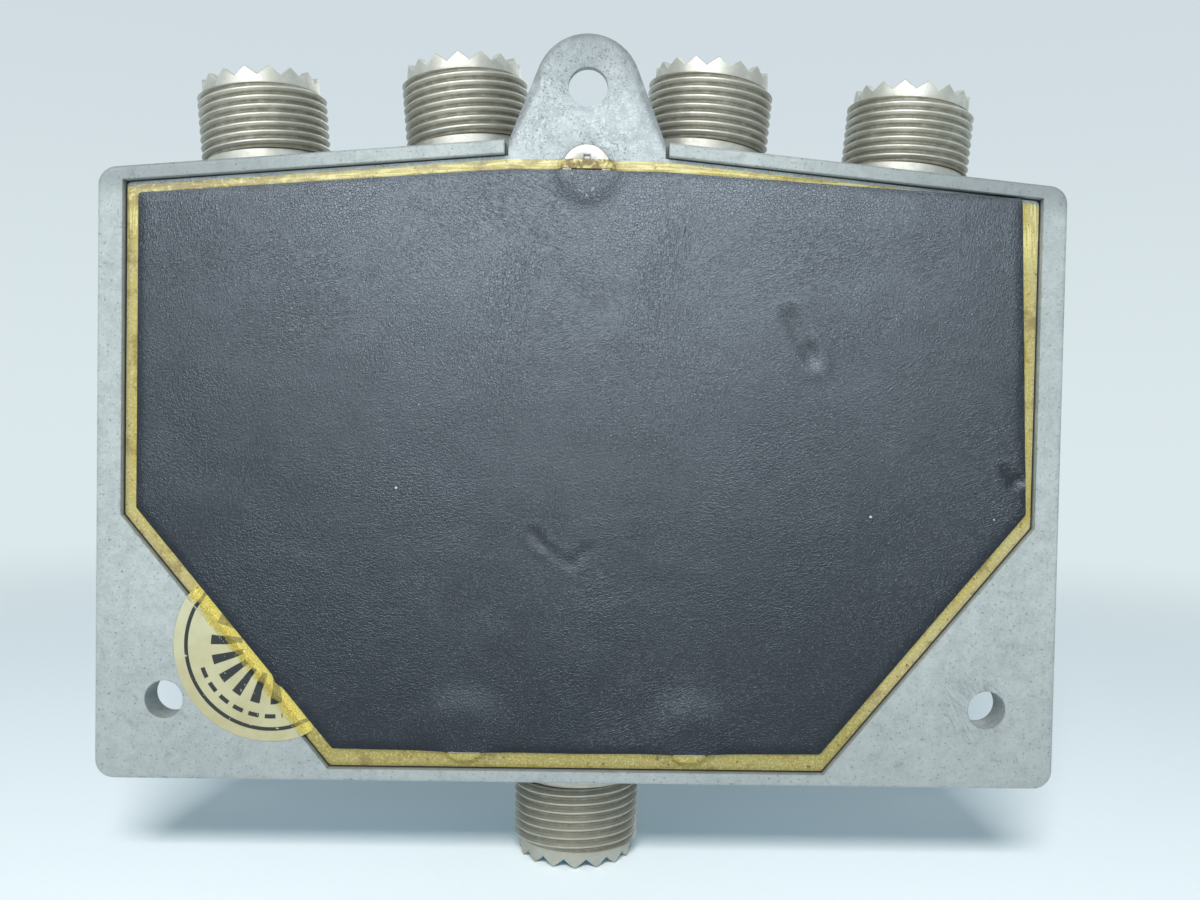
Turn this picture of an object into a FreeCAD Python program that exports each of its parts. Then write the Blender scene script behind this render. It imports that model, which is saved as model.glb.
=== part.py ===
import FreeCAD, Part
import os
import re
import Sketcher
from FreeCAD import Placement, Rotation, Vector

# Four-way coaxial antenna switch in a die-cast case.
#
# Frame: millimetres, +Z up towards the four antenna sockets, the knob on the -Y side and the wall on
# the +Y side. The origin lies in the back plane, midway between the two wall-screw holes. Depths are
# counted from the back plane towards the knob, so a depth of 5 is the plane Y = -5.

SIZES = {
    # case outline, seen from behind; heights are above the bottom edge
    "case_width": (114.0, "side to side"),
    "apex_height": (77.0, "bottom edge to the top of the roof"),
    "roof_slope": (5.2, "fall of the roof to each side, degrees"),
    "case_depth": (24.6, "back plane to the front face"),
    "corner_radius": (2.2, "outer corners"),
    "edge_radius": (0.5, "small outer edges"),
    "front_radius": (1.4, "edges of the front face"),
    "flange_depth": (4.0, "thickness of the flange corners"),
    "wall": (4.0, "walls of the box"),
    "floor": (2.5, "front wall of the box"),
    # rim round the rear cover, and the corners of its recess
    "rim_side": (2.95, "rim width at the sides"),
    "rim_top": (1.65, "rim width at the roof"),
    "rim_bottom": (1.45, "rim width at the bottom"),
    "rim_diagonal": (2.15, "rim width at the diagonals"),
    "recess_corner": (31.25, "height where the side of the recess turns inwards"),
    "recess_foot": (29.5, "half-width of the recess at its bottom"),
    "recess_depth": (2.2, "back plane to the cover's seat"),
    # wall screws
    "wall_hole_inset": (8.15, "flange holes from the sides"),
    "wall_hole_height": (9.5, "flange holes above the bottom edge"),
    "wall_hole_radius": (2.25, "flange holes"),
    # rear cover, its lug, glue and sheet
    "cover_thickness": (1.2, "rear cover"),
    "cover_gap": (0.15, "cover to recess, all round"),
    "cover_corner": (0.5, "corner radius of the cover and the glue"),
    "lug_width": (18.6, "lug at its root"),
    "lug_shoulder_drop": (1.0, "top of the roof down to where the lug begins to narrow"),
    "lug_eye_rise": (5.6, "centre of the lug's hole above the top of the roof"),
    "lug_radius": (6.25, "round end of the lug"),
    "lug_hole_radius": (2.35, "hole in the lug"),
    "lug_slot": (0.4, "slot between the lug and the roof, each side"),
    "glue_thickness": (0.15, "glue film"),
    "glue_setback": (0.05, "edge of the cover to the glue"),
    "sheet_thickness": (0.5, "leatherette"),
    "sheet_corner": (0.35, "corner radius of the leatherette"),
    "sheet_margin": (1.8, "edge of the recess to the sheet"),
    "sheet_margin_bottom": (2.2, "edge of the recess to the sheet, bottom"),
    "sheet_margin_top": (1.5, "edge of the recess to the sheet, top"),
    "sheet_over_head": (0.13, "sheet stretched over a screw head"),
    "sheet_head_room": (0.05, "screw head to the sheet over it"),
    "sheet_head_side": (0.2, "screw head to the sheet beside it"),
    "sheet_skirt": (0.75, "raised sheet beyond a screw head"),
    # foil seal
    "seal_radius": (11.4, "foil seal"),
    "seal_inset": (20.7, "centre of the seal from the side"),
    "seal_height": (16.1, "centre of the seal"),
    "foil": (0.1, "thickness of the foil"),
    # cover screws
    "cover_screw_radius": (1.5, "shank"),
    "cover_screw_length": (8.0, "shank"),
    "cover_screw_play": (0.2, "holes of the cover round the shanks"),
    "drill_spare": (2.0, "tapped holes beyond the screws' ends"),
    "cover_head_radius": (2.95, "head"),
    "cover_head_height": (0.75, "head"),
    "cross_length": (3.4, "cross in the head"),
    "cross_width": (0.7, "cross in the head"),
    "cross_depth": (0.4, "cross in the head"),
    "top_screw_drop": (4.2, "top screw below the top of the roof"),
    "bottom_screw_height": (5.6, "bottom screws"),
    "bottom_screw_out": (13.4, "bottom screws from the middle"),
    "boss_radius": (3.3, "screw bosses"),
    # sockets; along each one's axis, from the outside of the wall
    "inner_socket_out": (14.8, "sockets 2 and 3 from the middle"),
    "outer_socket_inset": (16.5, "sockets 1 and 4 from the sides"),
    "thread_radius": (7.94, "5/8 inch thread, over the crests"),
    "thread_depth": (0.62, "depth of the thread"),
    "thread_pitch": (1.058, "24 turns to the inch"),
    "thread_turns": (7, "grooves"),
    "collar_height": (2.2, "plain collar under the thread"),
    "collar_radius": (7.5, "plain collar"),
    "crown_foot": (10.1, "wall to the crown"),
    "crown_top": (12.3, "wall to the tips of the teeth"),
    "crown_radius": (7.2, "crown"),
    "tooth_height": (1.1, "teeth of the crown"),
    "tooth_gap": (2.1, "width between two tips"),
    "tooth_count": (16, "teeth of the crown"),
    "mouth_radius": (6.1, "bore of the shell"),
    "spigot_radius": (5.9, "part of the shell inside the wall"),
    "spigot_bore": (4.5, "bore of that part"),
    "spigot_spare": (0.6, "shell beyond the nut"),
    "shell_step": (1.0, "step in the bore of the shell"),
    "nut_height": (2.2, "nut inside the case"),
    "nut_flats": (16.0, "across flats"),
    "insulator_drop": (3.2, "tips of the teeth to the insulator"),
    "insulator_tail": (1.0, "insulator beyond the shell"),
    "pin_bore": (2.0, "bore for the plug's pin"),
    "contact_radius": (2.8, "outside of the centre contact"),
    "contact_proud": (0.3, "contact above the insulator"),
    "contact_bore_depth": (9.6, "depth of the bore"),
    "contact_slit": (0.4, "slits in the contact"),
    "contact_slit_depth": (4.0, "slits in the contact"),
    "tail_radius": (1.25, "solder tail"),
    "tail_length": (3.6, "solder tail beyond the insulator"),
    # conductors and stator
    "selector_height": (40.0, "axis of the knob"),
    "step_angle": (45.0, "one click, degrees"),
    "positions": (4, "positions of the knob"),
    "rest_turn": (22.5, "turn of the rotor at rest, from straight up to socket 2, degrees"),
    "blade_reach": (14.0, "fixed contacts from the axis"),
    "strip_width": (3.0, "conductor strips"),
    "strip_thickness": (0.8, "conductor strips"),
    "strip_inset": (1.8, "end of the solder tail to the end of the strip"),
    "eye_radius": (2.4, "eye of a strip"),
    "rivet_radius": (1.0, "shanks of the contact rivets"),
    "contact_head_radius": (2.2, "contact faces"),
    "contact_head": (0.4, "height of the contact faces"),
    "contact_gap": (0.1, "between the contact faces and the rotor's pips"),
    "corridor_width": (8.0, "way for a strip through the chamber wall"),
    "corridor_room": (3.8, "room in front of a strip there"),
    "stator_thickness": (2.0, "stator plate"),
    "stator_radius": (19.2, "stator plate"),
    "stator_gap": (0.25, "stator plate to its seat"),
    "stator_ledge": (1.8, "seat under the stator plate"),
    "stator_ear_radius": (2.6, "ears of the stator plate"),
    "stator_ear_offset": (0.2, "middle of an ear beyond the plate's edge"),
    "stator_ear_angle": (112.5, "ears from straight up, degrees"),
    "stator_screw_radius": (1.0, "shank"),
    "stator_screw_length": (6.0, "shank"),
    "stator_head_radius": (1.9, "head"),
    "stator_head_height": (1.1, "head"),
    "chamber_wall": (2.0, "wall round the chamber"),
    "rib": (2.0, "partitions between the sockets"),
    "common_rib_out": (11.2, "partitions beside the common conductor"),
    # rotor
    "pip_height": (1.0, "contact pips of the blade"),
    "pip_radius": (1.4, "contact pips"),
    "blade_thickness": (0.8, "blade"),
    "blade_width": (4.4, "blade"),
    "blade_hub_radius": (3.0, "middle of the blade"),
    "disc_thickness": (0.5, "earthing disc"),
    "disc_gap": (1.25, "earthing disc to the chamber"),
    "disc_bore": (4.4, "earthing disc"),
    "disc_opening": (62.0, "opening round the blade, degrees"),
    "hub_radius": (14.8, "rotor hub"),
    "hub_flange_gap": (0.5, "hub to the bushing's flange, all round"),
    "rotor_rivet_radius": (0.8, "shank"),
    "rotor_rivet_head": (1.3, "head radius"),
    "rotor_rivet_height": (0.4, "head"),
    "rotor_rivet_grip": (1.2, "depth in the hub"),
    "blade_rivet_out": (5.4, "blade rivet from the axis"),
    "disc_rivet_out": (11.6, "disc rivets from the axis"),
    "hub_pin_radius": (0.8, "cross pin"),
    "hub_pin_setback": (2.4, "cross pin from the back of the hub"),
    "hub_pin_length": (9.0, "cross pin"),
    # detent
    "index_thickness": (1.0, "index plate"),
    "index_radius": (14.8, "index plate"),
    "index_holes": (8, "holes of the index plate"),
    "index_hole_radius": (1.2, "holes of the index plate"),
    "hub_clearance": (0.5, "hub to index plate"),
    "ball_offset": (9.0, "balls from the axis"),
    "ball_radius": (1.5, "balls"),
    "ball_gap": (0.06, "ball to the index plate, when lifted"),
    "ball_pocket_gap": (0.1, "ball to the side of its pocket"),
    "pocket_skin": (1.0, "hub behind the balls' pockets"),
    "spring_wire": (0.35, "detent spring, thickness of the wire"),
    "spring_radius": (1.1, "detent spring, to the middle of the wire"),
    "spring_turns": (3, "detent spring"),
    "stop_pin_offset": (12.2, "stop pin from the axis"),
    "stop_pin_radius": (1.0, "stop pin"),
    "stop_pin_rise": (1.9, "stop pin above the index plate"),
    "stop_pin_seat": (1.8, "stop pin in the front wall"),
    "track_gap": (0.2, "stop pin to the sides of its track"),
    # shaft and bushing
    "shaft_radius": (3.0, "shaft"),
    "shaft_gap": (0.05, "running clearance, radial"),
    "press_gap": (0.02, "clearance of a pressed or threaded seat, radial"),
    "hub_skin": (1.1, "hub behind the end of the shaft"),
    "shaft_flat": (0.5, "flat for the set screw"),
    "shaft_flat_length": (8.0, "flat for the set screw"),
    "flange_radius": (6.5, "flange of the bushing"),
    "flange_height": (1.2, "flange of the bushing"),
    "barrel_radius": (4.75, "barrel of the bushing"),
    "barrel_spare": (0.8, "barrel beyond the nut"),
    "barrel_gap": (0.1, "holes round the barrel"),
    "washer_thickness": (0.6, "washer"),
    "washer_radius": (7.0, "washer"),
    "panel_nut_height": (2.2, "nut on the bushing"),
    "panel_nut_flats": (13.0, "across flats"),
    "clip_thickness": (0.6, "retaining clip"),
    "clip_play": (0.1, "bushing to the clip"),
    "clip_radius": (5.0, "retaining clip"),
    "clip_groove": (0.6, "groove of the clip in the shaft"),
    "clip_opening": (70.0, "open part of the clip, degrees"),
    # dial plate and knob
    "dial_thickness": (1.0, "dial plate"),
    "dial_margin": (4.0, "edge of the front face to the dial plate"),
    "dial_corner": (3.0, "corners of the dial plate"),
    "knob_clearance": (1.0, "dial plate to the knob"),
    "knob_web": (2.8, "knob between the shaft and the cap"),
    "skirt_radius": (18.5, "skirt of the knob"),
    "skirt_taper": (0.3, "skirt, back edge to front edge"),
    "skirt_height": (2.2, "skirt of the knob"),
    "grip_foot_radius": (14.8, "grip of the knob at the skirt"),
    "grip_top_radius": (13.8, "grip of the knob at the front"),
    "knob_height": (17.0, "knob, back to front"),
    "knob_edge": (0.8, "rounding of the knob's front edge"),
    "knob_recess_radius": (8.8, "room in the knob for the nut"),
    "knob_recess_depth": (4.2, "room in the knob for the nut"),
    "flute_count": (20, "flutes of the grip"),
    "flute_radius": (1.3, "flutes of the grip"),
    "flute_depth": (0.95, "flutes of the grip"),
    "flute_foot": (0.55, "skirt to the flutes"),
    "cap_radius": (11.4, "cap in the front of the knob"),
    "cap_recess": (0.8, "seat of the cap"),
    "cap_thickness": (1.0, "cap"),
    "cap_edge": (0.2, "bevel of the cap"),
    "pointer_width": (1.4, "pointer"),
    "pointer_depth": (0.4, "pointer in the skirt"),
    "pointer_proud": (0.1, "pointer above the skirt"),
    "pointer_gap": (0.03, "pointer to its slot"),
    "pointer_inset": (0.4, "pointer from the grip and from the edge of the skirt"),
    "set_screw_radius": (1.5, "set screw"),
    "set_screw_length": (6.0, "set screw"),
    "set_screw_setback": (4.0, "front end of the shaft to the set screw"),
    "fit": (0.05, "easy fit, each side"),
}

# Heights in the frame. The bottom edge of the case lies below the origin.
BOTTOM = "(-wall_hole_height)"
SELECTOR = "(selector_height - wall_hole_height)"
APEX = "(apex_height - wall_hole_height)"
FLOOR = "(case_depth - floor)"
# The sockets and their conductors lie midway between the back plane and the front face.
LINE = "(case_depth / 2)"
# Corner of the recess: where its side meets the diagonal, and the slope of the diagonal.
RECESS_HALF = "(case_width / 2 - rim_side)"
RECESS_BOTTOM = "(rim_bottom - wall_hole_height)"
DIAGONAL = "atan2(recess_corner - rim_bottom; case_width / 2 - rim_side - recess_foot)"
# Depths of the layers along the selector axis, from the back plane.
STRIP_FRONT = f"({LINE} + strip_thickness / 2)"
STRIP_BACK = f"({LINE} - strip_thickness / 2)"
STATOR_BACK = f"({STRIP_BACK} - stator_thickness)"
FACE = f"({STRIP_FRONT} + contact_head)"
PIP = f"({FACE} + contact_gap)"
HUB_BACK = f"({PIP} + pip_height + blade_thickness)"
INDEX_BACK = f"({FLOOR} - index_thickness)"
HUB_FRONT = f"({INDEX_BACK} - hub_clearance)"
FLANGE_BACK = f"({INDEX_BACK} - flange_height)"
DIAL_FRONT = "(case_depth + dial_thickness)"
WASHER_FRONT = f"({DIAL_FRONT} + washer_thickness)"
NUT_FRONT = f"({WASHER_FRONT} + panel_nut_height)"
BARREL_FRONT = f"({NUT_FRONT} + barrel_spare)"
KNOB_BACK = f"({DIAL_FRONT} + knob_clearance)"
SKIRT_FRONT = f"({KNOB_BACK} + skirt_height)"
KNOB_FRONT = f"({KNOB_BACK} + knob_height)"
CAP_SEAT = f"({KNOB_FRONT} - cap_recess)"
SHAFT_BACK = f"({HUB_BACK} + hub_skin)"
SHAFT_FRONT = f"({CAP_SEAT} - knob_web)"
PIN_DEPTH = f"({HUB_BACK} + hub_pin_setback)"
POCKET_END = f"({HUB_BACK} + pocket_skin)"
CLIP_BACK = f"({BARREL_FRONT} + clip_play)"
CLIP_FRONT = f"({CLIP_BACK} + clip_thickness)"
COVER_BACK = "(recess_depth - cover_thickness)"
GLUE_BACK = f"({COVER_BACK} - glue_thickness)"
SHEET_BACK = f"({GLUE_BACK} - sheet_thickness)"
CHAMBER = "(stator_radius + stator_gap - stator_ledge)"
DISC = f"({CHAMBER} - disc_gap)"
RING = "(stator_radius + stator_gap + chamber_wall)"
# Sockets 1 and 4, from the middle.
OUTER = "(case_width / 2 - outer_socket_inset)"
# Lengths inside a socket, from the outside of the wall.
SPIGOT_END = "(wall + nut_height + spigot_spare)"
INSULATOR_FACE = "(crown_top - insulator_drop)"
INSULATOR_END = f"({SPIGOT_END} + insulator_tail)"
TAIL_END = f"({INSULATOR_END} + tail_length)"

DOC = FreeCAD.newDocument("coaxial_antenna_switch")
SHEET = DOC.addObject("Spreadsheet::Sheet", "Sizes")
NODES = []


def fill_sheet():
    """Write the driving dimensions into the sheet."""
    for row, (name, (value, meaning)) in enumerate(SIZES.items(), start=1):
        SHEET.set(f"A{row}", name.replace("_", " "))
        SHEET.set(f"B{row}", str(value))
        SHEET.set(f"C{row}", meaning)
        SHEET.setAlias(f"B{row}", name)
    DOC.recompute()


def formula(text):
    """A formula in the names of the sheet, as the document reads it."""
    return re.sub(r"[a-z][a-z_]*\b(?!\()", lambda word: named(word.group()), str(text))


def named(word):
    return f"Sizes.{word}" if word in SIZES else word


def number(text):
    """The value of a formula now."""
    value = SHEET.evalExpression(formula(text))
    return float(getattr(value, "Value", value))


def bind(item, **formulas):
    for name, text in formulas.items():
        item.setExpression(name, formula(text))


def place(item, x="0", y="0", z="0", axis=None, angle="0"):
    """Put an item at a point and turn it about one axis, bound to the sheet."""
    turn = Rotation(axis, number(angle)) if axis else Rotation()
    item.Placement = Placement(Vector(number(x), number(y), number(z)), turn)
    for path, text in (("Base.x", x), ("Base.y", y), ("Base.z", z)):
        item.setExpression(f"Placement.{path}", formula(text))
    if axis:
        item.setExpression("Placement.Rotation.Angle", formula(angle))


# --- primitives and booleans -------------------------------------------------------------------

FORWARD = (Vector(1, 0, 0), "90")       # turns an axis along +Z towards the knob


def add(kind, label):
    item = DOC.addObject(kind, label)
    item.Label = label
    return item


def disc(label, radius, near, far, x="0", z="0"):
    """A cylinder along the depth, from one depth to another."""
    item = add("Part::Cylinder", label)
    bind(item, Radius=radius, Height=f"({far}) - ({near})")
    place(item, x, f"-({near})", z, *FORWARD)
    return item


def column(label, radius, low, high):
    """A cylinder along a socket's own axis."""
    item = add("Part::Cylinder", label)
    bind(item, Radius=radius, Height=f"({high}) - ({low})")
    place(item, z=low)
    return item


def block(label, left, right, near, far, low, high):
    """A box between two sides, two depths and two heights."""
    item = add("Part::Box", label)
    bind(item, Length=f"({right}) - ({left})", Width=f"({far}) - ({near})", Height=f"({high}) - ({low})")
    place(item, left, f"-({far})", low)
    return item


def bar(label, start, end, width, near, far):
    """A flat bar in the plane of the case, from one point up to another."""
    across = f"(({end[0]}) - ({start[0]}))"
    rise = f"(({end[1]}) - ({start[1]}))"
    lean = f"atan2({rise}; {across})"
    item = add("Part::Box", label)
    bind(item, Length=f"hypot({across}; {rise})", Width=f"({far}) - ({near})", Height=width)
    place(
        item,
        f"({start[0]}) + sin({lean}) * ({width}) / 2",
        f"-({far})",
        f"({start[1]}) - cos({lean}) * ({width}) / 2",
        Vector(0, -1, 0),
        lean,
    )
    return item


def hexagon(label, flats, near, far, outwards=False):
    """A hexagon nut blank along the depth, or along a socket's axis."""
    item = add("Part::Prism", label)
    item.Polygon = 6
    bind(item, Circumradius=f"({flats}) / sqrt(3)", Height=f"({far}) - ({near})")
    if outwards:
        place(item, z=near)
    else:
        place(item, "0", f"-({near})", "0", *FORWARD)
    return item


def joined(label, *shapes):
    item = add("Part::MultiFuse", label)
    item.Shapes = list(shapes)
    item.Refine = True
    return item


def cut(label, base, *tools):
    item = add("Part::Cut", label)
    item.Base = base
    item.Tool = tools[0] if len(tools) == 1 else joined(f"{label}_cutter", *tools)
    item.Refine = True
    return item


def group(label, shapes):
    """Identical pieces that share a node, each a solid of its own."""
    item = add("Part::Compound", label)
    item.Links = list(shapes)
    return item


def node(item):
    NODES.append(item)
    return item


# --- sketches and features ---------------------------------------------------------------------

def body(label):
    return add("PartDesign::Body", label)


def sketch(part, label, plane="XZ_Plane", depth="0"):
    """A sketch on one of the body's own planes, moved along its normal by a depth."""
    item = part.newObject("Sketcher::SketchObject", label)
    origin = next(face for face in part.Origin.OriginFeatures if face.Role == plane)
    item.AttachmentSupport = [(origin, "")]
    item.MapMode = "FlatFace"
    item.AttachmentOffset = Placement(Vector(0, 0, number(depth)), Rotation())
    item.setExpression("AttachmentOffset.Base.z", formula(depth))
    return item


def fix(item, kind, first, text):
    """Tie a point's distance from the sketch's origin to the sheet."""
    index = item.addConstraint(Sketcher.Constraint(kind, -1, 1, *first, number(text)))
    item.setExpression(f"Constraints[{index}]", formula(text))


def outline(item, points):
    """A closed run of straight edges through the points."""
    spots = [Vector(number(x), number(y), 0) for x, y in points]
    start = item.GeometryCount
    count = len(points)
    for index, spot in enumerate(spots):
        item.addGeometry(Part.LineSegment(spot, spots[(index + 1) % count]))
    for index in range(count):
        item.addConstraint(
            Sketcher.Constraint("Coincident", start + index, 2, start + (index + 1) % count, 1)
        )
    for index, (x, y) in enumerate(points):
        fix(item, "DistanceX", (start + index, 1), x)
        fix(item, "DistanceY", (start + index, 1), y)
    return item


def ring(item, x, y, radius):
    """A circle at a point."""
    index = item.addGeometry(Part.Circle(Vector(number(x), number(y), 0), Vector(0, 0, 1), number(radius)))
    fix(item, "DistanceX", (index, 3), x)
    fix(item, "DistanceY", (index, 3), y)
    size = item.addConstraint(Sketcher.Constraint("Radius", index, number(radius)))
    item.setExpression(f"Constraints[{size}]", formula(radius))
    return item


def feature(part, kind, label, profile, **formulas):
    item = part.newObject(f"PartDesign::{kind}", label)
    item.Profile = profile
    bind(item, **formulas)
    profile.Visibility = False
    part.Tip = item
    return item


def pad(part, label, profile, length):
    """Grow the body from the sketch towards the knob."""
    return feature(part, "Pad", label, profile, Length=length)


def pocket(part, label, profile, length, forward=True):
    """Cut from the sketch towards the knob, or back from it, and see that it did cut."""
    DOC.recompute()
    before = part.Shape.Volume
    item = feature(part, "Pocket", label, profile, Length=length)
    item.Reversed = forward
    DOC.recompute()
    if part.Shape.Volume >= before:
        raise RuntimeError(f"{label} removes nothing from {part.Label}")
    return item


def turned(label, plane, axis, points):
    """A body made by turning a profile about an axis of its sketch."""
    part = body(label)
    profile = outline(sketch(part, f"{label}_profile", plane), points)
    solid = feature(part, "Revolution", f"{label}_turned", profile)
    solid.ReferenceAxis = (profile, [axis])
    solid.Angle = 360
    return part


def turned_along_depth(label, points):
    """A body turned about the selector axis; each point is a depth and a radius."""
    return turned(label, "YZ_Plane", "H_Axis", [(f"-({depth})", radius) for depth, radius in points])


def arc_groove(part, label, points, angle):
    """Cut part of a ring, half to each side of the straight-up line; negative radii cut below it."""
    DOC.recompute()
    before = part.Shape.Volume
    spots = [(f"-({depth})", radius) for depth, radius in points]
    profile = outline(sketch(part, f"{label}_profile", "YZ_Plane"), spots)
    item = feature(part, "Groove", label, profile, Angle=angle)
    item.ReferenceAxis = (profile, ["H_Axis"])
    item.Midplane = True
    DOC.recompute()
    if part.Shape.Volume >= before:
        raise RuntimeError(f"{label} removes nothing from {part.Label}")
    return item


def around(part, label, original, role, count):
    """Repeat a feature evenly about an axis of the body."""
    item = part.newObject("PartDesign::PolarPattern", label)
    item.Originals = [original]
    axis = next(line for line in part.Origin.OriginFeatures if line.Role == role)
    item.Axis = (axis, [""])
    item.Angle = 360
    bind(item, Occurrences=count)
    part.Tip = item
    return item


def rounded(part, label, radius, chosen):
    """Round the edges of the body that a test picks."""
    DOC.recompute()
    tip = part.Tip
    names = [f"Edge{index}" for index, edge in enumerate(tip.Shape.Edges, 1) if chosen(edge)]
    item = part.newObject("PartDesign::Fillet", label)
    item.Base = (tip, names)
    bind(item, Radius=radius)
    part.Tip = item
    return item


def along_depth(edge):
    """Whether an edge runs straight along the depth."""
    ends = [vertex.Point for vertex in edge.Vertexes]
    if len(ends) < 2:
        return False
    run = ends[1] - ends[0]
    return abs(run.y) > 0.99 * run.Length


def in_plane(edge, depth):
    """Whether an edge lies at one depth."""
    box = edge.BoundBox
    return abs(box.YMin + depth) < 1e-4 and abs(box.YMax + depth) < 1e-4


def at_selector(item, turned_to_rest=False):
    """Put a piece built about the depth axis on the selector axis."""
    if turned_to_rest:
        place(item, z=SELECTOR, axis=Vector(0, -1, 0), angle="rest_turn")
    else:
        place(item, z=SELECTOR)
    return node(item)


# --- outlines ----------------------------------------------------------------------------------

def roof(x, drop="0"):
    """Height of a line under the roof, at a distance from the middle."""
    return f"(apex_height - wall_hole_height - ({x}) * tan(roof_slope) - ({drop}) / cos(roof_slope))"


def case_line(side, top, bottom, diagonal):
    """The case's six-sided line, each kind of side moved inwards from the edge of the recess."""
    half = f"({RECESS_HALF} - ({side}))"
    low = f"({RECESS_BOTTOM} + ({bottom}))"
    foot = f"(recess_foot + (({bottom}) - ({diagonal}) / cos({DIAGONAL})) / tan({DIAGONAL}))"
    corner = (
        f"({RECESS_BOTTOM} + ({half} - recess_foot) * tan({DIAGONAL}) + ({diagonal}) / cos({DIAGONAL}))"
    )
    drop = f"(rim_top + ({top}))"
    right = [(foot, low), (half, corner), (half, roof(half, drop))]
    left = [(f"-{x}", z) for x, z in reversed(right)]
    return right + [("0", roof("0", drop))] + left


def even_line(inset):
    return case_line(inset, inset, inset, inset)


def skin_line(side, top, bottom, diagonal):
    """A line on the cover, level across the root of the lug."""
    line = case_line(side, top, bottom, diagonal)
    half = "(lug_width / 2)"
    level = roof(half, f"rim_top + ({top})")
    return line[:3] + [(half, level), (f"-{half}", level)] + line[4:]


def box_line(inset):
    """The outside of the box, moved inwards."""
    moved = [f"{inset} - {rim}" for rim in ("rim_side", "rim_top", "rim_bottom", "rim_diagonal")]
    return case_line(*moved)


def flange_line():
    half = "(case_width / 2)"
    right = [(half, BOTTOM), (half, roof(half))]
    left = [(f"-{x}", z) for x, z in reversed(right)]
    return right + [("0", roof("0"))] + left


def polar(radius, angle):
    """A point about the selector axis, its angle counted from straight up to the right."""
    return f"(({radius}) * sin({angle}))", f"({SELECTOR} + ({radius}) * cos({angle}))"


# --- the sockets' places ------------------------------------------------------------------------

class Seat:
    """Where one socket stands: a point on the outside of the wall and the way it points."""

    def __init__(self, name, side, out):
        self.name = name
        self.side = side
        self.out = out

    @property
    def x(self):
        return f"({self.side} * {self.out})"

    @property
    def z(self):
        return BOTTOM if self.side == 0 else roof(self.out)

    def along(self, length):
        """A point on the axis, a length inside the wall."""
        if self.side == 0:
            return "0", f"({BOTTOM} + {length})"
        lean = f"{self.side} * {length} * sin(roof_slope)"
        return f"({self.x} - {lean})", f"({self.z} - {length} * cos(roof_slope))"

    def put(self, item):
        if self.side == 0:
            place(item, self.x, f"-{LINE}", self.z, Vector(0, 1, 0), "180")
        else:
            place(item, self.x, f"-{LINE}", self.z, Vector(0, self.side, 0), "roof_slope")
        return item


SEATS = (
    Seat("1", -1, OUTER),
    Seat("2", -1, "inner_socket_out"),
    Seat("3", 1, "inner_socket_out"),
    Seat("4", 1, OUTER),
    Seat("common", 0, "0"),
)


def fixed_contact(seat):
    """Where a socket's conductor ends at the switch."""
    if seat.side == 0:
        return "0", SELECTOR
    steps = "step_angle * 3 / 2" if seat.out == OUTER else "step_angle / 2"
    return polar("blade_reach", f"({seat.side} * {steps})")


def strip_line(seat):
    """The two ends of a conductor's middle line, the lower one first."""
    outer = seat.along(f"({TAIL_END} - strip_inset)")
    ends = [fixed_contact(seat), outer]
    return ends if seat.side else ends[::-1]


def stator_ear(side):
    return polar("stator_radius + stator_ear_offset", f"({side} * stator_ear_angle)")


def cover_screw_places():
    low = f"({BOTTOM} + bottom_screw_height)"
    return (
        ("0", f"({APEX} - top_screw_drop)"),
        ("bottom_screw_out", low),
        ("(-bottom_screw_out)", low),
    )


# --- housing -----------------------------------------------------------------------------------

def casting():
    """The plain shell of the case: box and flange, the cover's recess and the hollow inside."""
    part = body("casting")
    pad(part, "flange", outline(sketch(part, "flange_outline"), flange_line()), "flange_depth")
    pad(part, "box", outline(sketch(part, "box_outline"), box_line("0")), "case_depth")
    rounded(part, "corners", "corner_radius", along_depth)
    rounded(part, "front_edges", "front_radius", lambda edge: in_plane(edge, number("case_depth")))
    rounded(part, "back_edges", "edge_radius", lambda edge: in_plane(edge, 0))
    pocket(part, "recess", outline(sketch(part, "recess_outline"), even_line("0")), "recess_depth")
    pocket(part, "hollow", outline(sketch(part, "hollow_outline"), box_line("wall")), FLOOR)
    half = "(lug_width / 2 + lug_slot)"
    low = roof("0", "rim_top + cover_thickness")
    high = f"({APEX} + rim_top)"
    notch = [(f"-{half}", low), (half, low), (half, high), (f"-{half}", high)]
    pocket(part, "lug_notch", outline(sketch(part, "lug_notch_outline"), notch), "recess_depth")
    return part


def partitions():
    """Ribs that part the sockets' conductors from one another."""
    middle = f"({RING} - chamber_wall / 2)"
    between = f"((inner_socket_out + {OUTER}) / 2)"
    side_end = "(case_width / 2 - wall / 2)"
    low = f"({SELECTOR} - rib)"
    span = ("rib", "recess_depth", FLOOR)
    ribs = [bar("rib_top", ("0", SELECTOR), ("0", roof("0", "wall / 2")), *span)]
    for name, side in (("left", "-1"), ("right", "1")):
        start = polar(middle, f"({side} * step_angle)")
        top = (f"({side} * {between})", roof(between, "wall / 2"))
        ribs.append(bar(f"rib_{name}_upper", start, top, *span))
        inner = (f"({side} * {middle})", low)
        outer = (f"({side} * {side_end})", low)
        ribs.append(bar(f"rib_{name}_side", inner, outer, *span))
        foot = (f"({side} * common_rib_out)", f"({BOTTOM} + wall / 2)")
        head = (f"({side} * common_rib_out)", f"({SELECTOR} - {CHAMBER})")
        ribs.append(bar(f"rib_{name}_lower", foot, head, *span))
    return ribs


def screw_bosses():
    """Round bosses for the cover screws, and the two for the stator plate."""
    bosses = [
        disc(f"cover_boss_{index}", "boss_radius", "recess_depth", FLOOR, x, z)
        for index, (x, z) in enumerate(cover_screw_places(), 1)
    ]
    for name, side in (("left", "-1"), ("right", "1")):
        x, z = stator_ear(side)
        radius = "stator_ear_radius + stator_gap + rib / 2"
        bosses.append(disc(f"stator_boss_{name}", radius, "recess_depth", FLOOR, x, z))
    return bosses


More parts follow.
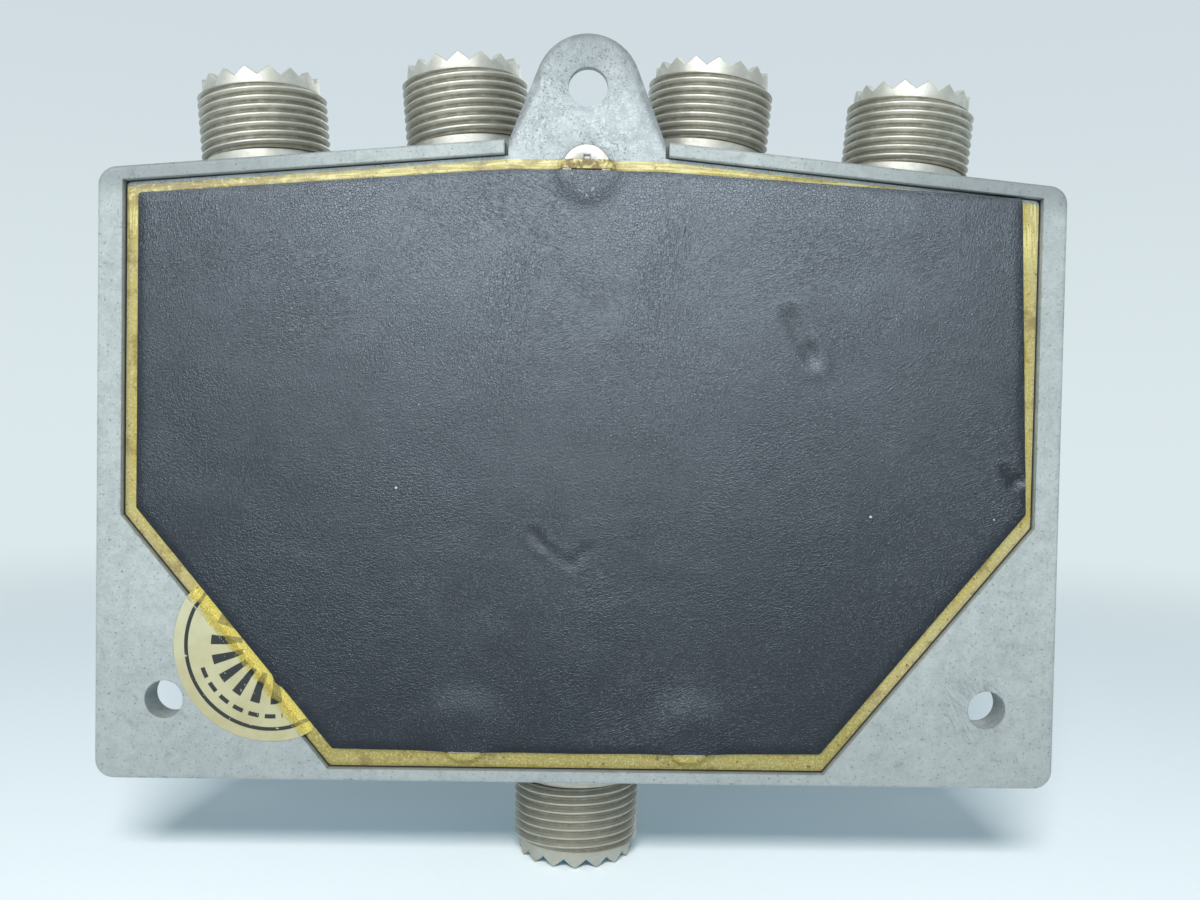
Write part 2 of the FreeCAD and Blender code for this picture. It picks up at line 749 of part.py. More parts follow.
def housing():
    """The die-cast case with everything cut through it."""
    chamber_wall = disc("chamber_wall", RING, "recess_depth", FLOOR, z=SELECTOR)
    solid = joined("case_solid", casting(), chamber_wall, *partitions(), *screw_bosses())
    cuts = [
        disc("chamber", CHAMBER, "0", FLOOR, z=SELECTOR),
        disc("stator_seat", "stator_radius + stator_gap", "0", STRIP_BACK, z=SELECTOR),
        disc("bushing_hole", "barrel_radius + barrel_gap", "case_depth - floor * 2", "case_depth + floor",
             z=SELECTOR),
    ]
    pin_x, pin_z = polar("stop_pin_offset", "180")
    cuts.append(disc("stop_pin_hole", "stop_pin_radius + press_gap", INDEX_BACK,
                     f"{FLOOR} + stop_pin_seat", pin_x, pin_z))
    for name, side in (("left", "-1"), ("right", "1")):
        x, z = stator_ear(side)
        cuts.append(disc(f"ear_seat_{name}", "stator_ear_radius + stator_gap", "0", STRIP_BACK, x, z))
        depth = f"{STATOR_BACK} + stator_screw_length + drill_spare"
        cuts.append(disc(f"ear_hole_{name}", "stator_screw_radius + fit", "0", depth, x, z))
        out = f"({side} * (case_width / 2 - wall_hole_inset))"
        cuts.append(disc(f"wall_hole_{name}", "wall_hole_radius", "-1", "flange_depth + 1", out))
    for index, (x, z) in enumerate(cover_screw_places(), 1):
        depth = f"{COVER_BACK} + cover_screw_length + drill_spare"
        cuts.append(disc(f"cover_screw_hole_{index}", "cover_screw_radius + fit", "0", depth, x, z))
    for seat in SEATS:
        start, end = strip_line(seat)
        front = f"{STRIP_FRONT} + corridor_room"
        cuts.append(bar(f"corridor_{seat.name}", start, end, "corridor_width", "0", front))
        hole = column(f"socket_hole_{seat.name}", "spigot_radius + barrel_gap", "-wall * 3 / 2", "wall")
        cuts.append(joined_at(seat, f"socket_cut_{seat.name}", hole))
    return node(cut("housing", solid, *cuts))


def joined_at(seat, label, shape):
    """A piece built about a socket's own axis, moved to that socket."""
    return seat.put(group(label, [shape]))


# --- rear cover and what lies on it --------------------------------------------------------------

def lug_outline():
    """Straight sides that run on to touch the round end."""
    half = "(lug_width / 2)"
    rise = "(lug_eye_rise + lug_shoulder_drop)"
    swing = f"(90 deg - atan2({rise}; {half}) - asin(lug_radius / hypot({half}; {rise})))"
    touch_x = f"(lug_radius * cos({swing}))"
    touch_z = f"({APEX} + lug_eye_rise + lug_radius * sin({swing}))"
    foot = f"({APEX} - top_screw_drop)"
    right = [(half, foot), (half, f"({APEX} - lug_shoulder_drop)"), (touch_x, touch_z)]
    return right + [(f"-{x}", z) for x, z in reversed(right)]


def rear_cover():
    """Sheet-metal cover with the hanging lug in one piece."""
    part = body("rear_cover")
    eye = ("0", f"({APEX} + lug_eye_rise)")
    plate = outline(sketch(part, "cover_outline", depth=COVER_BACK), even_line("cover_gap"))
    pad(part, "cover_plate", plate, "cover_thickness")
    rounded(part, "cover_corners", "cover_corner", along_depth)
    sides = outline(sketch(part, "lug_sides", depth=COVER_BACK), lug_outline())
    pad(part, "lug_plate", sides, "cover_thickness")
    end = ring(sketch(part, "lug_end", depth=COVER_BACK), *eye, "lug_radius")
    pad(part, "lug_round", end, "cover_thickness")
    hole = ring(sketch(part, "lug_hole_outline", depth=COVER_BACK), *eye, "lug_hole_radius")
    pocket(part, "lug_hole", hole, "cover_thickness")
    for index, (x, z) in enumerate(cover_screw_places(), 1):
        spot = ring(sketch(part, f"cover_hole_outline_{index}", depth=COVER_BACK), x, z,
                    "cover_screw_radius + cover_screw_play")
        pocket(part, f"cover_hole_{index}", spot, "cover_thickness")
    return node(part)


def seal_place():
    return "(case_width / 2 - seal_inset)", f"({BOTTOM} + seal_height)"


def layer(label, line, near, far):
    """A flat layer between two depths."""
    part = body(label)
    profile = outline(sketch(part, f"{label}_outline", depth=near), line)
    pad(part, f"{label}_layer", profile, f"({far}) - ({near})")
    return part


def on_the_back(label, line, near, far, corner):
    """A flat layer with rounded corners."""
    part = layer(label, line, near, far)
    rounded(part, f"{label}_corners", corner, along_depth)
    return part


def glue_film():
    """Glue over the cover, open at the screw heads and under the seal."""
    inset = "cover_gap + glue_setback"
    edge = skin_line(inset, inset, inset, inset)
    film = on_the_back("glue_layer", edge, GLUE_BACK, COVER_BACK, "cover_corner")
    tools = [
        disc(f"glue_opening_{index}", "cover_head_radius + sheet_head_side", "0", "recess_depth", x, z)
        for index, (x, z) in enumerate(cover_screw_places(), 1)
    ]
    tools.append(disc("glue_seal_opening", "seal_radius + fit", "0", "recess_depth", *seal_place()))
    return node(cut("cover_adhesive", film, *tools))


def rear_sheet():
    """Leatherette, raised where it passes over the heads of the cover screws."""
    edge = skin_line("sheet_margin", "sheet_margin_top", "sheet_margin_bottom", "sheet_margin")
    flat = on_the_back("sheet_layer", edge, SHEET_BACK, GLUE_BACK, "sheet_corner")
    head_top = f"({COVER_BACK} - cover_head_height - sheet_head_room)"
    raised = []
    rooms = []
    for index, (x, z) in enumerate(cover_screw_places(), 1):
        wide = "cover_head_radius + sheet_skirt"
        raised.append(disc(f"sheet_bump_{index}", wide, f"{head_top} - sheet_over_head", GLUE_BACK, x, z))
        room = "cover_head_radius + sheet_head_side"
        rooms.append(disc(f"head_room_{index}", room, head_top, "recess_depth", x, z))
    limit = on_the_back("sheet_limit", edge, f"{SHEET_BACK} - sheet_thickness", GLUE_BACK, "sheet_corner")
    bumps = add("Part::MultiCommon", "sheet_bumps")
    bumps.Shapes = [joined("sheet_bump_discs", *raised), limit]
    return node(cut("rear_sheet", joined("sheet_solid", flat, bumps), *rooms))


def inspection_sticker():
    """Round foil seal across the edge of the cover: on the flange, down the step, on the cover."""
    x, z = seal_place()
    on_flange = cut("seal_on_flange", disc("seal_outer", "seal_radius", "-foil", "0", x, z),
                    layer("seal_recess", even_line("foil"), "-foil * 2", "recess_depth"))
    wall = layer("seal_wall_outside", even_line("0"), "-foil", COVER_BACK)
    inner = layer("seal_wall_inside", even_line("foil"), "-foil * 2", "recess_depth")
    step = cut("seal_step_ring", wall, inner)
    on_cover = layer("seal_floor", even_line("0"), f"{COVER_BACK} - foil", COVER_BACK)
    round_edge = disc("seal_round", "seal_radius", "-foil", COVER_BACK, x, z)
    inside = add("Part::MultiCommon", "seal_inside")
    inside.Shapes = [joined("seal_steps", step, on_cover), round_edge]
    return node(joined("inspection_sticker", on_flange, inside))


def cover_screws():
    """Three pan-head screws with a cross in the head."""
    screws = []
    for index, (x, z) in enumerate(cover_screw_places(), 1):
        head_back = f"({COVER_BACK} - cover_head_height)"
        head = disc(f"cover_head_{index}", "cover_head_radius", head_back, COVER_BACK, x, z)
        end = f"{COVER_BACK} + cover_screw_length"
        shank = disc(f"cover_shank_{index}", "cover_screw_radius", COVER_BACK, end, x, z)
        long, slim = "cross_length / 2", "cross_width / 2"
        deep = f"({head_back} + cross_depth)"
        level = block(f"cross_level_{index}", f"{x} - {long}", f"{x} + {long}", "-1", deep,
                      f"{z} - {slim}", f"{z} + {slim}")
        upright = block(f"cross_upright_{index}", f"{x} - {slim}", f"{x} + {slim}", "-1", deep,
                        f"{z} - {long}", f"{z} + {long}")
        blank = joined(f"cover_screw_blank_{index}", head, shank)
        screws.append(cut(f"cover_screw_{index}", blank, level, upright))
    return node(group("cover_screws", screws))


# --- sockets -----------------------------------------------------------------------------------

def socket_shell(seat):
    """Threaded shell with a plain collar, a serrated crown and a spigot through the wall."""
    label = f"socket_shell_{seat.name}"
    part = turned(label, "XZ_Plane", "V_Axis", [
        ("spigot_bore", f"-{SPIGOT_END}"),
        ("spigot_radius", f"-{SPIGOT_END}"),
        ("spigot_radius", "0"),
        ("collar_radius", "0"),
        ("collar_radius", "collar_height"),
        ("thread_radius", "collar_height"),
        ("thread_radius", "crown_foot"),
        ("crown_radius", "crown_foot"),
        ("crown_radius", "crown_top"),
        ("mouth_radius", "crown_top"),
        ("mouth_radius", "shell_step"),
        ("spigot_bore", "shell_step"),
    ])
    DOC.recompute()
    start = "(collar_height + thread_pitch / 2)"
    root = "(thread_radius - thread_depth)"
    clear = "(thread_radius + thread_pitch / 8)"
    half = "(thread_pitch * 3 / 8)"
    flat = "(thread_pitch / 16)"
    valley = outline(sketch(part, f"{label}_thread"), [
        (clear, f"({start} - {half})"),
        (root, f"({start} - {flat})"),
        (root, f"({start} + {flat})"),
        (clear, f"({start} + {half})"),
    ])
    groove = feature(part, "Groove", f"{label}_groove", valley)
    groove.ReferenceAxis = (valley, ["V_Axis"])
    groove.Angle = 360
    turns = part.newObject("PartDesign::LinearPattern", f"{label}_turns")
    turns.Originals = [groove]
    upright = next(line for line in part.Origin.OriginFeatures if line.Role == "Z_Axis")
    turns.Direction = (upright, [""])
    bind(turns, Occurrences="thread_turns", Length="thread_pitch * (thread_turns - 1)")
    part.Tip = turns
    over = "(crown_top + tooth_height / 4)"
    valley_floor = "(crown_top - tooth_height)"
    notch = outline(sketch(part, f"{label}_notch", "YZ_Plane"), [
        ("0", valley_floor),
        ("tooth_gap * 5 / 8", over),
        ("-tooth_gap * 5 / 8", over),
    ])
    gap = pocket(part, f"{label}_gap", notch, "crown_radius * 2")
    around(part, f"{label}_crown", gap, "Z_Axis", "tooth_count")
    return node(seat.put(part))


def socket_insulator(seat):
    label = f"socket_insulator_{seat.name}"
    part = turned(label, "XZ_Plane", "V_Axis", [
        ("contact_radius + press_gap", f"-{INSULATOR_END}"),
        ("spigot_bore - fit", f"-{INSULATOR_END}"),
        ("spigot_bore - fit", "shell_step + fit"),
        ("mouth_radius - fit", "shell_step + fit"),
        ("mouth_radius - fit", INSULATOR_FACE),
        ("contact_radius + press_gap", INSULATOR_FACE),
    ])
    return node(seat.put(part))


def centre_contact(seat):
    """Slit tube for the plug's pin, with a forked solder tail behind."""
    name = seat.name
    top = f"({INSULATOR_FACE} + contact_proud)"
    tube = column(f"contact_tube_{name}", "contact_radius", f"-{INSULATOR_END}", top)
    tail = column(f"contact_tail_{name}", "tail_radius", f"-{TAIL_END}", f"-{INSULATOR_END}")
    bore = column(f"contact_bore_{name}", "pin_bore", f"{top} - contact_bore_depth", f"{top} + 1")
    reach = "(contact_radius + 1)"
    slit = block(f"contact_slit_{name}", "-contact_slit / 2", "contact_slit / 2", f"-{reach}", reach,
                 f"{top} - contact_slit_depth", f"{top} + 1")
    half = "(strip_thickness / 2 + fit)"
    fork = block(f"contact_fork_{name}", f"-{reach}", reach, f"-{half}", half,
                 f"-{TAIL_END} - 1", f"-{INSULATOR_END} - fit")
    return node(seat.put(cut(f"centre_contact_{name}", joined(f"contact_blank_{name}", tube, tail),
                             bore, slit, fork)))


def socket_nuts():
    """Hexagon nuts that hold the shells from inside."""
    nuts = []
    for seat in SEATS:
        name = seat.name
        blank = hexagon(f"nut_blank_{name}", "nut_flats", "-wall - nut_height", "-wall", outwards=True)
        bore = column(f"nut_bore_{name}", "spigot_radius + press_gap", "-wall - nut_height - 1", "1 - wall")
        nuts.append(seat.put(cut(f"socket_nut_{name}", blank, bore)))
    return node(group("socket_nuts", nuts))


# --- conductors and stator ---------------------------------------------------------------------

def line_strip(seat):
    """Flat conductor from a socket's solder tail to its contact at the switch."""
    name = seat.name
    start, end = strip_line(seat)
    span = (STRIP_BACK, STRIP_FRONT)
    contact = fixed_contact(seat)
    outer = start if seat.side == 0 else end
    straight = bar(f"strip_bar_{name}", start, end, "strip_width", *span)
    eye = disc(f"strip_eye_{name}", "eye_radius", *span, *contact)
    tip = disc(f"strip_tip_{name}", "strip_width / 2", *span, *outer)
    hole = disc(f"strip_hole_{name}", "rivet_radius + fit", "0", "case_depth", *contact)
    return node(cut(f"line_strip_{name}", joined(f"strip_blank_{name}", straight, eye, tip), hole))


def stator_plate():
    """Insulating plate that carries the inner ends of the strips."""
    span = (STATOR_BACK, STRIP_BACK)
    shapes = [disc("stator_round", "stator_radius", *span, z=SELECTOR)]
    holes = []
    for name, side in (("left", "-1"), ("right", "1")):
        shapes.append(disc(f"stator_ear_{name}", "stator_ear_radius", *span, *stator_ear(side)))
        holes.append(disc(f"stator_hole_{name}", "stator_screw_radius + fit * 2", "0", "case_depth",
                          *stator_ear(side)))
    for seat in SEATS:
        holes.append(disc(f"rivet_hole_{seat.name}", "rivet_radius + fit", "0", "case_depth",
                          *fixed_contact(seat)))
    return node(cut("stator_plate", joined("stator_blank", *shapes), *holes))


def stator_screws():
    screws = []
    for name, side in (("left", "-1"), ("right", "1")):
        spot = stator_ear(side)
        head = disc(f"stator_head_{name}", "stator_head_radius", f"{STATOR_BACK} - stator_head_height",
                    STATOR_BACK, *spot)
        shank = disc(f"stator_shank_{name}", "stator_screw_radius", STATOR_BACK,
                     f"{STATOR_BACK} + stator_screw_length", *spot)
        screws.append(joined(f"stator_screw_{name}", head, shank))
    return node(group("stator_screws", screws))


def fixed_contacts():
    """Riveted contacts: a face towards the rotor, a shank through strip and plate, a closed end."""
    rivets = []
    for seat in SEATS:
        name = seat.name
        spot = fixed_contact(seat)
        face = disc(f"contact_face_{name}", "contact_head_radius", STRIP_FRONT, FACE, *spot)
        shank = disc(f"contact_shank_{name}", "rivet_radius", STATOR_BACK, STRIP_FRONT, *spot)
        end = disc(f"contact_end_{name}", "contact_head_radius - contact_head",
                   f"{STATOR_BACK} - contact_head", STATOR_BACK, *spot)
        rivets.append(joined(f"contact_rivet_{name}", face, shank, end))
    return node(group("fixed_contacts", rivets))


# --- bushing, index plate and stop ----------------------------------------------------------------

def shaft_bushing():
    """Flanged bearing of the shaft, clamped in the front wall."""
    bore = "shaft_radius + shaft_gap"
    return at_selector(turned_along_depth("shaft_bushing", [
        (FLANGE_BACK, bore),
        (FLANGE_BACK, "flange_radius"),
        (INDEX_BACK, "flange_radius"),
        (INDEX_BACK, "barrel_radius"),
        (BARREL_FRONT, "barrel_radius"),
        (BARREL_FRONT, bore),
    ]))


def bushing_washer():
    blank = disc("washer_blank", "washer_radius", DIAL_FRONT, WASHER_FRONT)
    hole = disc("washer_hole", "barrel_radius + barrel_gap", "0", KNOB_FRONT)
    return at_selector(cut("bushing_washer", blank, hole))


def bushing_nut():
    blank = hexagon("panel_nut_blank", "panel_nut_flats", WASHER_FRONT, NUT_FRONT)
    hole = disc("panel_nut_hole", "barrel_radius + press_gap", "0", KNOB_FRONT)
    return at_selector(cut("bushing_nut", blank, hole))


def index_plate():
    """Steel plate with a ring of holes that the balls drop into."""
    part = body("index_plate")
    pad(part, "index_blank", ring(sketch(part, "index_edge", depth=INDEX_BACK), "0", "0", "index_radius"),
        "index_thickness")
    middle = ring(sketch(part, "index_middle", depth=INDEX_BACK), "0", "0", "barrel_radius + barrel_gap")
    pocket(part, "index_bore", middle, "index_thickness")
    stop = sketch(part, "index_stop", depth=INDEX_BACK)
    ring(stop, "0", "-stop_pin_offset", "stop_pin_radius + fit")
    pocket(part, "index_stop_hole", stop, "index_thickness")
    first = ring(sketch(part, "index_hole_outline", depth=INDEX_BACK), "ball_offset * cos(rest_turn)",
                 "ball_offset * sin(rest_turn)", "index_hole_radius")
    hole = pocket(part, "index_hole", first, "index_thickness")
    around(part, "index_ring", hole, "Y_Axis", "index_holes")
    return at_selector(part)


def stop_pin():
    x, z = polar("stop_pin_offset", "180")
    return node(disc("stop_pin", "stop_pin_radius", f"{INDEX_BACK} - stop_pin_rise",
                     f"{FLOOR} + stop_pin_seat - fit", x, z))


# --- rotor: built with the blade straight up, then turned to rest ---------------------------------

def selector_shaft():
    """Round shaft with a groove for the clip, a cross hole and a flat for the set screw."""
    groove = "(shaft_radius - clip_groove)"
    groove_back, groove_front = f"({CLIP_BACK} - fit)", f"({CLIP_FRONT} + fit)"
    blank = turned_along_depth("shaft_blank", [
        (SHAFT_BACK, "0"),
        (SHAFT_BACK, "shaft_radius"),
        (groove_back, "shaft_radius"),
        (groove_back, groove),
        (groove_front, groove),
        (groove_front, "shaft_radius"),
        (SHAFT_FRONT, "shaft_radius"),
        (SHAFT_FRONT, "0"),
    ])
    flat = block("shaft_flat_cut", "shaft_radius - shaft_flat", "shaft_radius * 2",
                 f"{SHAFT_FRONT} - shaft_flat_length", f"{SHAFT_FRONT} + 1", "-shaft_radius", "shaft_radius")
    cross = upright_hole("shaft_cross_hole", "hub_pin_radius + press_gap")
    return at_selector(cut("selector_shaft", blank, flat, cross), turned_to_rest=True)


def upright_hole(label, radius):
    """Hole for the cross pin, from its blind end below the shaft up to the rim of the hub."""
    item = add("Part::Cylinder", label)
    bind(item, Radius=radius, Height="hub_pin_length / 2 + hub_radius + fit")
    place(item, "0", f"-{PIN_DEPTH}", "-hub_pin_length / 2 - fit")
    return item


def hub_pin():
    item = add("Part::Cylinder", "hub_pin_rod")
    bind(item, Radius="hub_pin_radius", Height="hub_pin_length")
    place(item, "0", f"-{PIN_DEPTH}", "-hub_pin_length / 2")
    return at_selector(group("hub_pin", [item]), turned_to_rest=True)


def rotor_hub():
    """Moulded hub: room for the bushing's flange, ball pockets and the track of the stop pin."""
    recess = f"({FLANGE_BACK} - hub_flange_gap)"
    mouth = "(flange_radius + hub_flange_gap)"
    part = turned_along_depth("hub_moulding", [
        (HUB_BACK, "0"),
        (HUB_BACK, "hub_radius"),
        (HUB_FRONT, "hub_radius"),
        (HUB_FRONT, mouth),
        (recess, mouth),
        (recess, "shaft_radius + press_gap"),
        (f"{SHAFT_BACK} - fit", "shaft_radius + press_gap"),
        (f"{SHAFT_BACK} - fit", "0"),
    ])
    pockets = sketch(part, "ball_pocket_outline", depth=HUB_FRONT)
    for side in ("-ball_offset", "ball_offset"):
        ring(pockets, side, "0", "ball_radius + ball_pocket_gap")
    pocket(part, "ball_pockets", pockets, f"{HUB_FRONT} - {POCKET_END}", forward=False)
    rivets = sketch(part, "rivet_outline", depth=HUB_BACK)
    for x, z in rotor_rivet_places():
        ring(rivets, x, z, "rotor_rivet_radius + press_gap")
    pocket(part, "rivet_holes", rivets, "rotor_rivet_grip + fit")
    reach = "(stop_pin_radius + track_gap)"
    inner, outer = f"-(stop_pin_offset - {reach})", f"-(stop_pin_offset + {reach})"
    back = f"({INDEX_BACK} - stop_pin_rise - track_gap)"
    swing = f"((positions - 1) * step_angle * 1 deg + 2 * asin({reach} / stop_pin_offset))"
    arc_groove(part, "stop_track", [(back, inner), (back, outer), (f"{HUB_FRONT} + 1", outer),
                                    (f"{HUB_FRONT} + 1", inner)], swing)
    cross = upright_hole("hub_cross_hole", "hub_pin_radius + press_gap")
    return at_selector(cut("rotor_hub", part, cross), turned_to_rest=True)


def rotor_rivet_places():
    """Points about the axis, with the blade straight up: one in the blade, three in the disc."""
    places = [("0", "blade_rivet_out")]
    for turn in ("step_angle * 3 / 2", "180", "-step_angle * 3 / 2"):
        places.append((f"(disc_rivet_out * sin({turn}))", f"(disc_rivet_out * cos({turn}))"))
    return places


def contact_blade():
    """Blade from the middle contact to the chosen one, with a pip at each."""
    front = f"({HUB_BACK} - blade_thickness)"
    span = (front, HUB_BACK)
    half = "(blade_width / 2)"
    shapes = [
        disc("blade_middle", "blade_hub_radius", *span),
        block("blade_bar", f"-{half}", half, *span, "0", "blade_reach"),
        disc("blade_end", half, *span, z="blade_reach"),
        disc("middle_pip", "pip_radius", PIP, front),
        disc("end_pip", "pip_radius", PIP, front, z="blade_reach"),
    ]
    hole = disc("blade_rivet_hole", "rotor_rivet_radius + fit", "0", "case_depth", z="blade_rivet_out")
    return at_selector(cut("contact_blade", joined("blade_blank", *shapes), hole), turned_to_rest=True)


def ground_disc():
    """Disc that earths the contacts not in use, open round the blade."""
    front = f"({HUB_BACK} - disc_thickness)"
    part = turned_along_depth("disc_sheet", [
        (front, "disc_bore"),
        (front, DISC),
        (HUB_BACK, DISC),
        (HUB_BACK, "disc_bore"),
    ])
    over = f"({DISC} + 1)"
    arc_groove(part, "disc_gap", [(f"{front} - 1", "disc_bore / 2"), (f"{front} - 1", over),
                                  (f"{HUB_BACK} + 1", over), (f"{HUB_BACK} + 1", "disc_bore / 2")],
               "disc_opening")
    pips = []
    for index, steps in enumerate((1, 2, 3, -1, -2, -3), 1):
        x = f"(blade_reach * sin({steps} * step_angle))"
        z = f"(blade_reach * cos({steps} * step_angle))"
        pips.append(disc(f"earth_pip_{index}", "pip_radius", PIP, front, x, z))
    holes = [
        disc(f"disc_rivet_hole_{index}", "rotor_rivet_radius + fit", "0", "case_depth", x, z)
        for index, (x, z) in enumerate(rotor_rivet_places()[1:], 1)
    ]
    return at_selector(cut("ground_disc", joined("disc_blank", part, *pips), *holes), turned_to_rest=True)


def rotor_rivets():
    rivets = []
    for index, (x, z) in enumerate(rotor_rivet_places(), 1):
        thickness = "blade_thickness" if index == 1 else "disc_thickness"
        under = f"({HUB_BACK} - {thickness})"
        head = disc(f"rotor_rivet_head_{index}", "rotor_rivet_head", f"{under} - rotor_rivet_height",
                    under, x, z)
        shank = disc(f"rotor_rivet_shank_{index}", "rotor_rivet_radius", under,
                     f"{HUB_BACK} + rotor_rivet_grip", x, z)
        rivets.append(joined(f"rotor_rivet_{index}", head, shank))
    return at_selector(group("rotor_rivets", rivets), turned_to_rest=True)


def detent(name, side):
    """A ball lifted out of its hole, and the spring behind it."""
    centre = f"({INDEX_BACK} - ball_gap - ball_radius)"
    ball = add("Part::Sphere", f"ball_{name}")
    bind(ball, Radius="ball_radius")
    place(ball, f"{side} * ball_offset", f"-{centre}", "0")
    at_selector(group(f"detent_ball_{name}", [ball]), turned_to_rest=True)
    bottom = f"({POCKET_END} + fit + spring_wire / 2)"
    top = f"({centre} - ball_radius * 3 / 4 - spring_wire / 2)"
    helix = add("Part::Helix", f"spring_line_{name}")
    bind(helix, Radius="spring_radius", Height=f"{top} - {bottom}",
         Pitch=f"({top} - {bottom}) / spring_turns")
    place(helix, f"{side} * ball_offset", f"-{bottom}", "0", *FORWARD)
    wire = add("Part::Circle", f"spring_wire_{name}")
    bind(wire, Radius="spring_wire / 2")
    place(wire, f"{side} * ball_offset + spring_radius", f"-{bottom}", "0")
    coil = add("Part::Sweep", f"spring_coil_{name}")
    DOC.recompute()
    coil.Sections = [wire]
    coil.Spine = (helix, ["Edge1"])
    coil.Solid = True
    coil.Frenet = True
    at_selector(group(f"detent_spring_{name}", [coil]), turned_to_rest=True)


def retaining_clip():
    """Open ring in the shaft's groove, in front of the bushing."""
    inner = "(shaft_radius - clip_groove + fit)"
    part = turned_along_depth("retaining_clip", [
        (CLIP_BACK, inner),
        (CLIP_BACK, "clip_radius"),
        (CLIP_FRONT, "clip_radius"),
        (CLIP_FRONT, inner),
    ])
    over = [(f"{CLIP_BACK} - 1", "shaft_radius / 2"), (f"{CLIP_BACK} - 1", "clip_radius + 1"),
            (f"{CLIP_FRONT} + 1", "clip_radius + 1"), (f"{CLIP_FRONT} + 1", "shaft_radius / 2")]
    arc_groove(part, "clip_gap", over, "clip_opening")
    return at_selector(part, turned_to_rest=True)


# --- dial plate and knob -----------------------------------------------------------------------

def front_plate():
    """Dial plate on the front face, held by the bushing's nut."""
    part = body("front_plate")
    edge = outline(sketch(part, "dial_outline", depth="case_depth"), box_line("dial_margin"))
    pad(part, "dial_blank", edge, "dial_thickness")
    rounded(part, "dial_corners", "dial_corner", along_depth)
    hole = ring(sketch(part, "dial_hole_outline", depth="case_depth"), "0", SELECTOR,
                "barrel_radius + barrel_gap")
    pocket(part, "dial_hole", hole, "dial_thickness")
    return node(part)


def knob_body():
    """Skirted knob with a fluted grip."""
    part = turned_along_depth("knob_moulding", [
        (KNOB_BACK, "knob_recess_radius"),
        (KNOB_BACK, "skirt_radius"),
        (SKIRT_FRONT, "skirt_radius - skirt_taper"),
        (SKIRT_FRONT, "grip_foot_radius"),
        (f"({KNOB_FRONT} - knob_edge)", "grip_top_radius"),
        (KNOB_FRONT, "grip_top_radius - knob_edge"),
        (KNOB_FRONT, "cap_radius + fit"),
        (CAP_SEAT, "cap_radius + fit"),
        (CAP_SEAT, "0"),
        (f"{SHAFT_FRONT} + fit", "0"),
        (f"{SHAFT_FRONT} + fit", "shaft_radius + press_gap"),
        (f"({KNOB_BACK} + knob_recess_depth)", "shaft_radius + press_gap"),
        (f"({KNOB_BACK} + knob_recess_depth)", "knob_recess_radius"),
    ])
    DOC.recompute()
    reach = "(grip_foot_radius + flute_radius - flute_depth)"
    outer = sketch(part, "flute_outline", depth=f"{SKIRT_FRONT} + flute_foot")
    flute = ring(outer, "0", reach, "flute_radius")
    first = pocket(part, "flute", flute, "knob_height")
    around(part, "flutes", first, "Y_Axis", "flute_count")
    half = "(pointer_width / 2 + pointer_gap)"
    low, high = pointer_span()
    slot = block("pointer_slot", f"-{half}", half, f"{SKIRT_FRONT} - pointer_depth - pointer_gap",
                 f"{SKIRT_FRONT} + 1", f"{low} - pointer_gap", f"{high} + 1")
    bore = set_screw_rod("set_screw_hole", "set_screw_radius + press_gap", "shaft_radius - shaft_flat",
                         "grip_foot_radius + 1")
    return at_selector(cut("knob_body", part, slot, bore), turned_to_rest=True)


def pointer_span():
    """The pointer's inner and outer ends, from the axis."""
    return "(grip_foot_radius + pointer_inset)", "(skirt_radius - skirt_taper - pointer_inset)"


def set_screw_rod(label, radius, near, far):
    """A rod across the axis, towards the shaft's flat."""
    item = add("Part::Cylinder", label)
    bind(item, Radius=radius, Height=f"({far}) - ({near})")
    place(item, near, f"set_screw_setback - {SHAFT_FRONT}", "0", Vector(0, 1, 0), "90")
    return item


def knob_set_screw():
    near = "(shaft_radius - shaft_flat + fit)"
    rod = set_screw_rod("set_screw_rod", "set_screw_radius", near, f"{near} + set_screw_length")
    return at_selector(group("knob_set_screw", [rod]), turned_to_rest=True)


def knob_cap():
    """Metal disc set in the front of the knob."""
    front = f"({CAP_SEAT} + cap_thickness)"
    part = turned_along_depth("knob_cap", [
        (CAP_SEAT, "0"),
        (CAP_SEAT, "cap_radius"),
        (f"{front} - cap_edge", "cap_radius"),
        (front, "cap_radius - cap_edge"),
        (front, "0"),
    ])
    return at_selector(part, turned_to_rest=True)


def knob_pointer():
    """Inlaid line on the skirt."""
    half = "(pointer_width / 2)"
    low, high = pointer_span()
    line = block("pointer_line", f"-{half}", half, f"{SKIRT_FRONT} - pointer_depth",
                 f"{SKIRT_FRONT} + pointer_proud", low, high)
    return at_selector(group("knob_pointer", [line]), turned_to_rest=True)


# --- the whole switch --------------------------------------------------------------------------

def build():
    fill_sheet()
    housing()
    rear_cover()
    glue_film()
    rear_sheet()
    inspection_sticker()
    cover_screws()
    for seat in SEATS:
        socket_shell(seat)
        socket_insulator(seat)
        centre_contact(seat)
        line_strip(seat)
    socket_nuts()
    stator_plate()
    stator_screws()
    fixed_contacts()
    shaft_bushing()
    bushing_washer()
    bushing_nut()
    index_plate()
    stop_pin()
    selector_shaft()
    hub_pin()
    rotor_hub()
    contact_blade()
    ground_disc()
    rotor_rivets()
    detent("a", "-1")
    detent("b", "1")
    retaining_clip()
    front_plate()
    knob_body()
    knob_set_screw()
    knob_cap()
    knob_pointer()
    DOC.recompute()


def check():
    """Stop if anything in the document failed, before a file is written."""
    for item in DOC.Objects:
        if {"Invalid", "Error"} & set(item.State):
            raise RuntimeError(f"{item.Label} failed: {item.State}")
    for item in NODES:
        if item.Shape.isNull() or not item.Shape.isValid() or not item.Shape.Solids:
            raise RuntimeError(f"{item.Label} has no valid solid")


def write():
    os.makedirs("parts", exist_ok=True)
    for item in NODES:
        item.Shape.exportStep(f"parts/{item.Label}.step")
        print(f"{item.Label}: {len(item.Shape.Solids)} solid(s), {item.Shape.Volume:.1f} mm3")


build()
check()
write()
